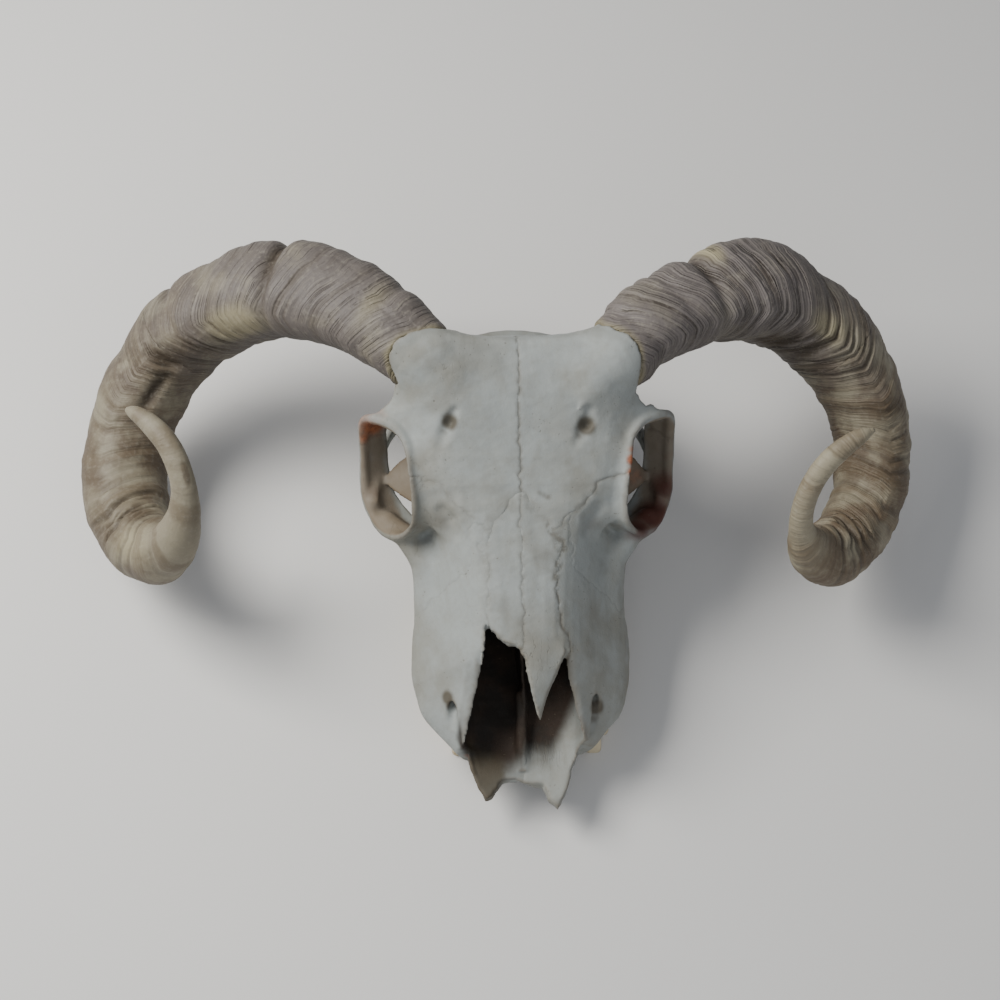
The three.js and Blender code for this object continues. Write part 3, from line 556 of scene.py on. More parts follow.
def nasal_plate(x, y, z, grow=0.0):
    """Distance to the pair of nasal bones as one thin arched plate."""
    half = NASAL_HALF(y) + grow
    bow = np.minimum(np.abs(x) / np.maximum(NASAL_HALF(y), 6), 1.15)
    middle = ROOF(y) + 0.3 - 2.8 * bow**2 - NASAL_THICK / 2
    flat = np.abs(z - middle) * 0.86 - NASAL_THICK / 2 - grow
    side = np.maximum(np.abs(x) - half, y - 88 - grow)
    q = np.maximum(flat, 0) ** 2 + np.maximum(side, 0) ** 2
    return np.sqrt(q) + np.minimum(np.maximum(flat, side), 0)


def set_nasal_bones(clay):
    """The thin roof over the nose, snapped off unevenly on one side and running to a point on the other."""
    cut, x, y, z = clay.window((-24, -6, 40), (24, 92, 96), 4)
    plate = nasal_plate(x, y, z)
    ragged = 0.5 * smooth_noise(x, y, z, 3.2, 21)
    lost = polygon_distance(x, y, RIGHT_BREAK) + ragged + 0 * z
    kept = polygon_distance(x, y, LEFT_POINT) + 0.5 * ragged + 0 * z
    clay.carve(cut, np.maximum(lost, ROOF(y) - 12 - z), 0.3)
    right = np.maximum(np.maximum(plate, x - 0.9), -lost)
    left = np.maximum(plate, kept)
    clay.join(cut, np.minimum(left, right), 0.3)


def stand_septum(clay):
    """The thin upright plate that divides the nose, worn away towards the front."""
    cut, x, y, z = clay.window((-6, -8, 16), (6, 90, 90), 2)
    bow = 0.8 * np.sin(y / 11) + 0.35 * smooth_noise(x * 0, y, z, 9, 41)
    ridge = tube_distance(x, y, z, [(-0.5, -9, 21.4), (-0.5, 0, 24), (0, 22, 29.5)], (0.8, 2.2, 2.6))
    clay.join(cut, ridge, 4.0)
    worn = polygon_distance(y, z, SEPTUM) + 0.6 * smooth_noise(x * 0, y, z, 6, 43)
    clay.join(cut, np.maximum(np.abs(x - bow) - 0.75, worn), 1.2)


# ---- marks on the bone ----
# The groove over each eye, and the hole at its upper end.
BROW_HOLES = {
    1: ([(29.8, 118, 107.6), (28.6, 114, 105.4), (26.2, 110.4, 103.2), (24, 106, 100.6)],
        [(28.6, 113.4, 104.2), (28.6, 113.8, 102.6), (28.6, 114, 102)]),
    -1: ([(-27, 119, 107.8), (-29.8, 115, 105.8), (-32.4, 110, 102.3), (-34, 105, 99.6)],
         [(-29, 115.4, 105.2), (-29.2, 115.4, 103.6), (-29.2, 115.6, 103)]),
}
# The hole that the face nerve leaves by, as places along it and half-widths, on each side.
NERVE_HOLES = {
    1: ([(29.6, 2.2, 35.6), (30.6, 7, 38.2), (31.4, 12, 40.6), (28, 20, 41.5)], (1.5, 2.0, 2.0, 2.0)),
    -1: ([(-31.3, 5.6, 37.9), (-30, 10.2, 39.8), (-26, 21, 41.5)], (2.3, 2.7, 2.2)),
}


# The shallow pit in front of each eye, on the animal's left.
TEAR_PIT = ((35.6, 83, 83.6), (33.4, 83, 83.8), (30.6, 80, 82.4), (28.6, 75, 79))


def pierce(clay):
    """The small holes for nerves and vessels, the pits and furrows round them."""
    for side in (1, -1):
        cut, x, y, z = clay.half_window(side, 0, 50, (-6, 20), (130, 116), 2)
        groove, hole = BROW_HOLES[side]
        clay.carve(cut, tube_distance(x, y, z, hole, (1.3, 1.3, 0.9)), 2.0)
        clay.carve(cut, tube_distance(x, y, z, groove, (0.8, 2.3, 2.0, 0.5)), 3.0)
        nerve, wide = NERVE_HOLES[side]
        clay.carve(cut, tube_distance(x, y, z, nerve, wide), 1.6)
        clay.carve(cut, tube_distance(x, y, z, mirrored(TEAR_PIT, side), (1.0, 2.6, 3.2, 1.8)), 3.0)


def roughen(clay):
    """Slow swellings and fine unevenness, so that no surface is perfectly smooth."""
    for k in range(0, clay.shape[0], 24):
        part = slice(k, min(k + 24, clay.shape[0]))
        x = clay.axes[0][part].astype(np.float32)[:, None, None]
        y = clay.axes[1].astype(np.float32)[None, :, None]
        z = clay.axes[2].astype(np.float32)[None, None, :]
        bumps = 0.30 * smooth_noise(x, y, z, 17, 5) + 0.12 * smooth_noise(x, y, z, 5.5, 9)
        clay.field[part] += bumps.astype(np.float32)


def level_feet(clay):
    """Cuts everything off at the level that the skull stands on."""
    cut, x, y, z = clay.window((-78, -34, -6), (78, 202, 4), 0)
    clay.carve(cut, z - 0.05 + 0 * (x + y), 0.3)


def blurred(field, passes):
    out = field
    for _ in range(passes):
        for axis in range(3):
            a = np.moveaxis(out, axis, 0)
            b = a.copy()
            b[1:-1] = 0.25 * a[:-2] + 0.5 * a[1:-1] + 0.25 * a[2:]
            out = np.moveaxis(b, 0, axis)
    return out


# ---- horns: each grows in equal steps, bending and twisting ever tighter towards its tip ----
# width and sway run along the horn's length, sway being a shift of the section towards its inner side.
# A waist is (share of the length, depth, half-length as a share): a groove round the outer side.
# A wrinkled, furrowed, pale or dark patch is (share, reach, turn from the facing edge, its reach, strength);
# the dark patches are partly the horn's own dark brown and partly painted shadow along its creases.
# rim is how far up the horn the bone reaches, by turn in degrees from the edge that faces the front.
HORNS = {
    "left": dict(
        side=1, start=(43.7, 142.8, 109.7), azimuth=52.7, elevation=2.7, roll=121.2, length=350.0,
        bend_radius=(100.2, 33.1), twist=(0.0034, -0.0123),
        width=curve((0, 34.4), (0.03, 35.8), (0.06, 38.4), (0.1, 40.2), (0.14, 41.8), (0.18, 44.6),
                    (0.215, 47.6), (0.245, 47.4), (0.29, 44.6), (0.36, 42.8), (0.43, 39.6), (0.52, 36.8),
                    (0.58, 35), (0.65, 33.2), (0.69, 32.6), (0.73, 30.6), (0.77, 24), (0.806, 17),
                    (0.834, 12.2), (0.866, 10.6), (0.927, 10.3), (0.957, 9.6), (0.985, 7), (1, 2.5)),
        sway=curve((0, 0), (0.04, -0.8), (0.1, 1), (0.16, 0.3), (0.22, -1.3), (0.25, -0.8), (0.3, 1.1),
                   (0.4, 1.4), (0.5, 1), (0.6, 1.1), (0.66, 1.5), (0.72, 0.4), (0.77, 0.4), (0.81, -0.6),
                   (0.84, -1.4), (0.88, -0.6), (0.92, 0.7), (0.96, 1.9), (1, 1.7)),
        waists=((0.028, 1.2, 0.012), (0.092, 1.2, 0.014), (0.14, 3.4, 0.015), (0.3, 1.2, 0.022),
                (0.41, 1.1, 0.022), (0.5, 1, 0.02)),
        wrinkled=((0.30, 0.07, -38, 34, 1.0), (0.22, 0.05, 40, 30, 0.5), (0.36, 0.06, 10, 25, 0.6),
                  (0.5, 0.05, 5, 30, 0.4), (0.72, 0.04, -30, 60, 1.0)),
        furrows=((0.245, 0.03, -62, 16, 1.6), (0.60, 0.05, -40, 14, 0.8)),
        pale=((0.31, 0.04, 6, 22, 0.7), (0.16, 0.012, 110, 40, 0.9), (0.62, 0.03, 45, 25, 0.4)),
        dark_and_shadow=((0.25, 0.03, -55, 22, 1.0), (0.47, 0.02, 0, 40, 0.8), (0.52, 0.02, 0, 35, 0.6),
              (0.68, 0.03, -10, 35, 0.9), (0.735, 0.02, -50, 30, 0.7)),
        rim=curve((-180, -2), (-130, -6), (-60, -8), (-30, -6.5), (0, -4.5), (20, 0), (40, 2.4), (90, 2.3),
                  (130, 4), (180, 0)),
    ),
    "right": dict(
        side=-1, start=(-40.1, 146.9, 107.8), azimuth=134.1, elevation=5.6, roll=-141.6, length=364.6,
        bend_radius=(124.2, 29.6), twist=(0.0018, 0.0077),
        width=curve((0, 33.6), (0.03, 36), (0.06, 39), (0.1, 41.8), (0.16, 44.2), (0.23, 45),
                    (0.3, 43.8), (0.35, 44), (0.4, 41.4), (0.44, 41.2), (0.54, 40.2), (0.61, 39),
                    (0.68, 35), (0.73, 31.2), (0.78, 24.6), (0.81, 20), (0.85, 15), (0.88, 11.8),
                    (0.91, 11.4), (0.95, 10.4), (0.98, 8), (0.992, 6.2), (1, 3.4)),
        sway=curve((0, 1.6), (0.05, 0.8), (0.12, 0), (0.2, -0.5), (0.25, 0), (0.3, 1.3), (0.35, 0.7),
                   (0.42, 2), (0.5, 1.9), (0.6, 1.6), (0.68, 2.6), (0.74, 2.3), (0.8, 0.8), (0.87, -1.2),
                   (0.92, -0.3), (0.96, 1.2), (1, 1.4)),
        waists=((0.06, 1, 0.014), (0.12, 1, 0.016), (0.2, 4.6, 0.015), (0.285, 1.2, 0.02), (0.338, 1.8, 0.01),
                (0.42, 1.1, 0.022), (0.52, 0.9, 0.02)),
        wrinkled=((0.30, 0.05, -34, 22, 1.0), (0.385, 0.025, -20, 22, 1.0), (0.17, 0.06, 30, 40, 0.35),
                  (0.66, 0.05, -20, 60, 0.8)),
        furrows=((0.435, 0.045, -33, 9, 2.4),),
        pale=((0.25, 0.05, -14, 26, 1.0), (0.07, 0.016, 60, 60, 0.5), (0.74, 0.05, 10, 50, 0.6)),
        dark_and_shadow=((0.385, 0.02, -18, 24, 0.9), (0.34, 0.03, -22, 18, 0.5), (0.64, 0.02, 0, 40, 0.4),
              (0.7, 0.025, -40, 26, 0.9), (0.893, 0.011, 100, 16, 1.4)),
        rim=curve((-180, -3), (-130, -6), (-60, -6), (-30, -5), (-12, -1), (5, 4), (30, 7), (55, 6.3),
                  (80, 3), (100, 0), (140, -4), (180, -3)),
    ),
}
HORN_CUTS = (0, 0.37, 0.68, 1)
HORN_CORNER = 0.06
CORNER_TURN = math.radians(66)


def waist_depth(horn, share, turn):
    """How deep the waists cut, deepest on the outer side of the bend."""
    outer = 0.62 - 0.38 * np.cos(turn)
    total = 0
    for at, depth, reach in horn["waists"]:
        total = total + depth * outer * np.exp(-(((share - at) / (reach * 0.6)) ** 2))
    return total


def patches(spots, share, facing):
    """Soft patches on a horn, by share of the length and turn from the edge that faces the front."""
    total = 0.0
    for at, reach, turn, spread, strength in spots:
        away = (np.degrees(facing) - turn) / spread
        total = total + strength * np.exp(-(((share - at) / reach) ** 2) - away**2)
    return total


def facing_turn(horn, turn):
    """The turn from the edge that faces the front, towards the horn's outer side."""
    away = (turn + horn["side"] * CORNER_TURN + math.pi) % (2 * math.pi) - math.pi
    return away * -horn["side"]


def grow_horn(horn, steps, before=0):
    """Shares of the length, places, headings, ways of bending and third directions along a horn."""
    az, el, roll = (math.radians(horn[k]) for k in ("azimuth", "elevation", "roll"))
    ahead = np.array([math.cos(el) * math.cos(az), math.cos(el) * math.sin(az), math.sin(el)])
    inward = np.array([0, 0, 1.0]) - ahead * ahead[2]
    inward /= np.linalg.norm(inward)
    across = np.cross(ahead, inward)

    def spin(a, b, angle):
        return math.cos(angle) * a + math.sin(angle) * b, math.cos(angle) * b - math.sin(angle) * a

    inward, across = spin(inward, across, roll)
    place = np.array(horn["start"], float)
    step = horn["length"] / steps
    first, last = horn["bend_radius"]
    rows = [(-k / steps, place - ahead * step * k, ahead, inward, across) for k in range(before, 0, -1)]
    for i in range(steps + 1):
        u = i / steps
        rows.append((u, place.copy(), ahead, inward, across))
        radius = first * (last / first) ** u
        ahead, inward = spin(ahead, inward, step / radius)
        inward, across = spin(inward, across, (horn["twist"][0] * (1 - u) + horn["twist"][1] * u) * step)
        place = place + ahead * step
    return [np.array(column) for column in zip(*rows)]


ROOT_TAPER = 0.4
# How far the bone stands out round a horn's root, by turn.
COLLAR = curve((-180, -1), (-60, -1.5), (-20, -0.5), (20, 0.6), (60, 0.7), (100, -0.6), (135, -2.2),
               (180, -1))


def add_pedicles(clay):
    """The bony base of each horn, ending in a plane with an uneven lip where the horn sets on."""
    for horn in HORNS.values():
        side = horn["side"]
        start = np.array(horn["start"])
        u, place, ahead, inward, across = grow_horn(horn, 60, before=2)
        cut, x, y, z = clay.half_window(side, 0, 84, (110, 70), (198, 130), 0)
        apart = [c - start[k] for k, c in enumerate((x, y, z))]
        axes = (inward[2], across[2], ahead[2])
        out, aside, beyond = (sum(apart[k] * axis[k] for k in range(3)) for axis in axes)
        facing = np.degrees(facing_turn(horn, np.arctan2(aside, out)))
        half = horn["width"](u) / 2 + ROOT_TAPER * np.minimum(u, 0) * horn["length"]
        root = [start + (-side * 20, -12, -14), start + (-side * 7, -5, -4), start, start + ahead[2] * 7]
        stalk = tube_distance(x, y, z, root, (11, 14.5, half[2] - 0.6, half[3])) - COLLAR(facing)
        edge = horn["rim"](facing) + 0.6 * smooth_noise(x, y, z, 6, 31)
        clay.join(cut, np.maximum(stalk, beyond - edge), 11.0)
        room = tube_distance(x, y, z, list(place[:16]), list(half[:16] + 0.6))
        under = np.clip((-facing - 25) / 30, 0, 1) * np.clip((facing + 150) / 30, 0, 1)
        clay.carve(cut, np.maximum(room - 6 * under, edge - beyond), 0.8)


def carve_skull(step):
    clay = Clay(step)
    lay_down_masses(clay)
    open_muzzle(clay)
    place_eye_sockets(clay)
    add_cheekbones(clay)
    add_base(clay)
    add_pedicles(clay)
    cut_throat(clay)
    add_ear_processes(clay)
    stand_septum(clay)
    set_nasal_bones(clay)
    pierce(clay)
    roughen(clay)
    level_feet(clay)
    return clay


# ---- parting the skull into its bones ----
BONES = ("frontal_left", "frontal_right", "cheekbone_left", "cheekbone_right", "maxilla_left",
         "maxilla_right", "nasal_left", "nasal_right", "braincase", "occipital")


def node_triangles(name):
    """A node's corner points, in millimetres from the skull's own origin, and its triangles."""
    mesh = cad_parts[name].data
    points = np.empty(len(mesh.vertices) * 3)
    mesh.vertices.foreach_get("co", points)
    mesh.calc_loop_triangles()
    triangles = np.empty(len(mesh.loop_triangles) * 3, np.int32)
    mesh.loop_triangles.foreach_get("vertices", triangles)
    return points.reshape(-1, 3) / MM - ORIGIN, triangles.reshape(-1, 3)


def welded(points, triangles):
    """The same skin with each corner shared by all its triangles."""
    keys, inverse = np.unique(np.round(points, 3), axis=0, return_inverse=True)
    return keys, inverse.reshape(-1)[triangles]


# How plainly each suture shows, as pairs of bones.
SUTURES = {
    ("frontal_left", "frontal_right"): 0.8, ("nasal_left", "nasal_right"): 0.55,
    ("frontal_left", "nasal_left"): 0.3, ("frontal_right", "nasal_right"): 0.3,
    ("frontal_left", "cheekbone_left"): 0.6, ("frontal_right", "cheekbone_right"): 0.3,
    ("maxilla_left", "nasal_left"): 0.85, ("maxilla_right", "nasal_right"): 0.3,
    ("frontal_left", "maxilla_left"): 0.5, ("frontal_right", "maxilla_right"): 0.3,
    ("braincase", "occipital"): 0.7, ("frontal_left", "braincase"): 0.5, ("frontal_right", "braincase"): 0.5,
}
FAINT_SUTURE = 0.12


class Parting:
    """Which bone each place of the block belongs to, from the nearest of the solids."""

    def __init__(self, clay):
        rough = Clay(max(clay.step, 1.2))
        shares = [rough.from_mesh(*welded(*node_triangles(n)), band=26.0) for n in BONES]
        stack = np.stack(shares)
        order = np.argsort(stack, axis=0)[:2]
        nearest, second = np.take_along_axis(stack, order, 0)
        self.rough, self.stack = rough, stack
        self.order, self.nearest, self.second = order, nearest, second

    def strength(self, k):
        """How plainly bone k's sutures show, by which bone is across them."""
        other = np.where(self.order[0] == k, self.order[1], self.order[0])
        pairs = [SUTURES.get((BONES[k], n)) or SUTURES.get((n, BONES[k])) or FAINT_SUTURE for n in BONES]
        return np.array(pairs, np.float32)[other]

    def bound(self, clay, k):
        """Distance to the surface between bone k and its nearest rival, negative on the bone's side."""
        rival = np.where(self.order[0] == k, self.second, self.nearest)
        coarse = (self.stack[k] - rival) / 2
        return resample(coarse, self.rough, clay)


def resample(values, source, target):
    """Values of one block read on the voxels of another."""
    out = values
    for axis in range(3):
        at = (target.axes[axis] - source.axes[axis][0]) / source.step
        i = np.clip(at.astype(int), 0, values.shape[axis] - 2)
        t = np.clip(at - i, 0, 1).astype(np.float32)
        shape = [1, 1, 1]
        shape[axis] = -1
        t = t.reshape(shape)
        out = np.take(out, i, axis) * (1 - t) + np.take(out, i + 1, axis) * t
    return out


def sample(values, clay, points):
    """Values of the block at points, mixed from the eight voxels round each."""
    at = (points - np.array([axis[0] for axis in clay.axes])) / clay.step
    base = np.clip(at.astype(int), 0, np.array(values.shape) - 2)
    t = at - base
    total = 0.0
    for corner in range(8):
        bit = np.array([corner >> k & 1 for k in range(3)])
        weight = np.prod(np.where(bit, t, 1 - t), axis=1)
        i, j, k = (base + bit).T
        total = total + weight * values[i, j, k]
    return total


# ---- stains and painted shade: places in millimetres, reach and strength ----
RUST = [((-59, 125, 88), 8, 1.4), ((-65, 121, 83), 5, 0.6), ((-52, 108, 77), 6, 0.5),
        ((47.6, 101.3, 94.1), 2.6, 1.2), ((47.6, 105.5, 95.4), 2.2, 0.7), ((47.3, 97, 91.5), 2.4, 1.1),
        ((50.9, 108.9, 67), 7, 0.42), ((63, 112, 74), 4.0, 0.7), ((-24.6, -4, 25), 2.4, 0.6),
        ((22.5, 6, 36), 4.5, 0.9)]
# Old blood in the eye sockets, deepened with painted shade low in the socket on the animal's left, away from
# the key light.
BLOOD_AND_SHADE = [((58, 92, 62), 11, 1.0), ((64, 104, 64), 9, 0.7), ((52, 84, 66), 8, 0.9), ((-62, 104, 62), 6, 0.35),
         ((46.6, 96, 90), 2.6, 0.5)]
# Soil spots, partly dirt and partly painted shade: darkness painted into the holes and pits, under the skull,
# round the horn roots and down the middle of the forehead and nose.
SOIL_AND_SHADE = [((-29.4, 115, 104.8), 3.6, 1.8), ((-31.6, 112, 102.4), 2.6, 0.8), ((28.4, 112.8, 103.4), 4.2, 1.6),
        ((25.5, 109.8, 101.8), 3, 0.7), ((-32.0, 16.2, 42.4), 3.4, 1.25), ((-30.6, 12.6, 41.6), 3.2, 1.3),
        ((31.3, 11.5, 40.2), 3.8, 1.6), ((30.4, 7, 38), 3.2, 0.9), ((0, 168, 50), 16, 0.6),
        ((0, 110, 34), 20, 0.6), ((0, 40, 16), 24, 0.4), ((8.4, 88, 90.7), 2.0, 0.6),
        ((9.9, 87.3, 90.3), 2.0, 0.6), ((11.5, 86.6, 89.8), 2.0, 0.6), ((-16.4, -21, 18), 9, 1.8),
        ((-18.5, -11, 21), 10, 1.7), ((-23, 0, 27), 5, 0.8), ((-2, -14, 21), 6, 0.3),
        ((40, 146, 100), 5, 0.3), ((-40, 144, 96), 5, 0.3), ((30, 78, 78), 7, 0.6),
        ((35, 66, 62), 10, 0.4), ((-34, 82, 79), 6, 0.5),
        ((4, 128, 112), 9, 0.4), ((-2, 148, 120), 10, 0.3), ((9, 62, 80), 9, 0.5), ((-9, 45, 73), 8, 0.4)]


def blobs(points, spots):
    total = np.zeros(len(points))
    for centre, reach, strength in spots:
        d2 = ((points - np.array(centre)) ** 2).sum(1)
        total = np.maximum(total, strength * np.exp(-d2 / reach**2))
    return total


def mesh_object(name, points, faces, attributes=()):
    """A mesh object from points in millimetres about the skull's origin, with float attributes."""
    mesh = bpy.data.meshes.new(name)
    width = faces.shape[1]
    mesh.vertices.add(len(points))
    mesh.vertices.foreach_set("co", ((points + ORIGIN) * MM).astype(np.float32).ravel())
    mesh.loops.add(faces.size)
    mesh.loops.foreach_set("vertex_index", faces.astype(np.int32).ravel())
    mesh.polygons.add(len(faces))
    mesh.polygons.foreach_set("loop_start", np.arange(0, faces.size, width, dtype=np.int32))
    mesh.update(calc_edges=True)
    mesh.polygons.foreach_set("use_smooth", np.ones(len(faces), bool))
    for label, values in attributes:
        layer = mesh.attributes.new(label, "FLOAT", "POINT")
        layer.data.foreach_set("value", np.asarray(values, np.float32))
    mesh.validate()
    piece = bpy.data.objects.new(name, mesh)
    bpy.context.scene.collection.objects.link(piece)
    return piece


def outward(points, faces):
    """Faces turned so that they look out of the solid."""
    a, b, c = (points[faces[:, k]] for k in range(3))
    volume = (np.cross(a, b) * c).sum()
    if faces.shape[1] == 4:
        volume += (np.cross(a, c) * points[faces[:, 3]]).sum()
    return faces if volume > 0 else faces[:, ::-1]


# Each bone runs on a little under its neighbour, so that no gap shows along a suture.
SEAM_SLOPE, SEAM_START, OVERLAP = 0.4, 0.3, 1.2
BAND = 3.0


def part_bone(clay, parting, hollows, k):
    """One bone of the skull as its own closed mesh."""
    bound = parting.bound(clay, k)
    near = np.argwhere(bound[::4, ::4, ::4] < 4)
    low = np.maximum(near.min(0) * 4 - 8, 0)
    high = np.minimum(near.max(0) * 4 + 9, clay.shape)
    cut = tuple(slice(a, b) for a, b in zip(low, high))
    x, y, z = (clay.axes[n][cut[n]].astype(np.float32) for n in range(3))
    x, y, z = x[:, None, None], y[None, :, None], z[None, None, :]
    other = np.where(parting.order[0] == k, parting.order[1], parting.order[0])
    turn = resample(np.sign(k - other).astype(np.float32), parting.rough, clay)[cut]
    zigzag = 0.45 * smooth_noise(x, y, z, 3.4, 77) + 0.45 * smooth_noise(x, y, z, 9, 78)
    past = bound[cut] + zigzag * turn
    sunk = SEAM_SLOPE * np.clip(past + SEAM_START, 0, 3)
    piece = np.maximum(clay.field[cut] + sunk, past - OVERLAP)
    piece = np.clip(piece, -BAND, BAND).astype(np.float32)
    grid = openvdb.FloatGrid(BAND)
    grid.transform = openvdb.createLinearTransform(voxelSize=clay.step)
    grid.copyFromArray(piece, ijk=tuple(int(v) for v in clay.first + low))
    points, quads = grid.convertToQuads(0.0)
    points = np.asarray(points, float)
    faces = outward(points, np.asarray(quads, int))
    points, faces = largest(points, faces)
    crease = sample(hollows["fine"], clay, points)
    shade = sample(hollows["wide"], hollows["block"], points)
    block = Clay(clay.step)
    block.field[cut] = past
    open_seam = sample(resample(parting.strength(k), parting.rough, clay), clay, points)
    suture = open_seam * np.exp(-((sample(block.field, clay, points) / 0.5) ** 2))
    return mesh_object(BONES[k] + "_bone", points, faces, (
        ("crease", crease), ("shade", shade), ("suture", suture),
        ("rust", blobs(points, RUST)), ("soil_and_shade", blobs(points, SOIL_AND_SHADE)), ("blood_and_shade", blobs(points, BLOOD_AND_SHADE)),
        ("nose", sample(hollows["nose"], clay, points)), ("eye", sample(hollows["eye"], clay, points)),
    ))


def largest(points, faces):
    """Drops loose crumbs, keeping every shell with a fair share of the faces."""
    label = np.arange(len(points))
    while True:
        low = label[faces].min(1)
        new = label.copy()
        for k in range(faces.shape[1]):
            np.minimum.at(new, faces[:, k], low)
        new = new[new]
        if (new == label).all():
            break
        label = new
    kinds, count = np.unique(label[faces[:, 0]], return_counts=True)
    good = set(kinds[count > max(0.02 * len(faces), 30)].tolist())
    keep = np.array([v in good for v in label[faces[:, 0]].tolist()])
    faces = faces[keep]
    used = np.unique(faces)
    index = np.zeros(len(points), int)
    index[used] = np.arange(len(used))
    return points[used], index[faces]


def hollow_maps(clay):
    """How creased the surface is close up, and how shut in it is within a few millimetres, which the bone's
    colour darkens as painted shade.
    """
    fine = clay.field - blurred(clay.field, 3)
    block = Clay(3.0)
    solid = (resample(clay.field, clay, block) < 0).astype(np.float32)
    return {
        "nose": clay.nose, "eye": clay.eye, "fine": fine / clay.step, "wide": blurred(solid, 9),
        "block": block,
    }


# ---- node trees ----
class Wire:
    """A socket that sums and products can be written with."""

    def __init__(self, board, socket):
        self.board, self.socket = board, socket

    def __add__(self, other):
        return self.board.math("ADD", self, other)

    def __radd__(self, other):
        return self.board.math("ADD", other, self)

    def __sub__(self, other):
        return self.board.math("SUBTRACT", self, other)

    def __rsub__(self, other):
        return self.board.math("SUBTRACT", other, self)

    def __mul__(self, other):
        return self.board.math("MULTIPLY", self, other)

    def __rmul__(self, other):
        return self.board.math("MULTIPLY", other, self)

    def __truediv__(self, other):
        return self.board.math("DIVIDE", self, other)

    def __pow__(self, other):
        return self.board.math("POWER", self, other)


class Board:
    """Adds nodes to one tree and wires them up."""

    def __init__(self, tree):
        self.tree = tree

    def node(self, kind, inputs=(), out=0, **settings):
        made = self.tree.nodes.new(kind)
        for key, value in settings.items():
            setattr(made, key, value)
        for key, value in dict(inputs).items():
            self.plug(made.inputs[key], value)
        return Wire(self, made.outputs[out])

    def plug(self, socket, value):
        if isinstance(value, Wire):
            self.tree.links.new(value.socket, socket)
        else:
            socket.default_value = value

    def math(self, operation, *values):
        return self.node("ShaderNodeMath", dict(enumerate(values)), operation=operation)

    def between(self, value, low, high):
        """0 below low and 1 above high, changing smoothly between them."""
        return self.node("ShaderNodeMapRange", {"Value": value, "From Min": low, "From Max": high},
                         interpolation_type="SMOOTHSTEP")

    def noise(self, scale, place=None, along=None, detail=3.0, rough=0.55, **more):
        """Noise from about 0.2 to 0.8, in space or along one number."""
        inputs = {"Scale": scale, "Detail": detail, "Roughness": rough, **more}
        if along is not None:
            return self.node("ShaderNodeTexNoise", {"W": along, **inputs}, noise_dimensions="1D")
        return self.node("ShaderNodeTexNoise", {"Vector": place, **inputs})

    def attribute(self, label):
        return self.node("ShaderNodeAttribute", out=2, attribute_name=label)

    def patchy(self, label, noise, wander, low, high):
        """Where an attribute is strong, with its edge broken up by noise."""
        return self.between(self.attribute(label) + noise * wander - wander / 2, low, high)

    def mix(self, share, a, b):
        """Colour a, turning to colour b by share."""
        made = self.tree.nodes.new("ShaderNodeMix")
        made.data_type, made.clamp_factor = "RGBA", True
        self.plug(made.inputs[0], share)
        self.plug(made.inputs[6], a)
        self.plug(made.inputs[7], b)
        return Wire(self, made.outputs[2])

    def stretched(self, place, x, y, z):
        made = self.tree.nodes.new("ShaderNodeVectorMath")
        made.operation = "MULTIPLY"
        self.plug(made.inputs[0], place)
        made.inputs[1].default_value = (x, y, z)
        return Wire(self, made.outputs[0])


def new_material(name):
    """A node material's board, its shader and its object coordinates."""
    material = bpy.data.materials.new(name)
    material.use_nodes = True
    tree = material.node_tree
    board = Board(tree)
    shader = tree.nodes["Principled BSDF"]
    place = board.node("ShaderNodeTexCoord", out=3)
    return material, board, shader, place


def set_surface(board, shader, colour, roughness, height, strength, distance):
    """Colour, roughness and fine relief of a material."""
    board.plug(shader.inputs["Base Color"], colour)
    board.plug(shader.inputs["Roughness"], roughness)
    bump = board.node("ShaderNodeBump", {"Height": height, "Strength": strength, "Distance": distance})
    board.plug(shader.inputs["Normal"], bump)


def opaque(colour):
    return tuple(colour) + (1,)


def srgb(red, green, blue):
    """A colour from 0 to 255 values, as the linear one that the nodes take."""
    parts = [v / 255 for v in (red, green, blue)]
    return tuple(v / 12.92 if v <= 0.04045 else ((v + 0.055) / 1.055) ** 2.4 for v in parts) + (1.0,)


DUST, CHALK = srgb(130, 128, 119), srgb(162, 166, 163)
SHADY_TAN, CREASE_SHADE_BROWN, SOCKET_BROWN = srgb(106, 94, 74), srgb(98, 84, 66), srgb(104, 86, 62)
NOSE_SHADE_BROWN, DRY_MUD_AND_SHADE = srgb(46, 32, 21), srgb(66, 56, 38)
DARK_RUST, OLD_BLOOD_AND_SHADE = srgb(116, 58, 28), srgb(74, 30, 18)
SUTURE_BROWN, PIT_BROWN, CRACK_BROWN = srgb(82, 74, 60), srgb(88, 80, 66), srgb(90, 82, 70)


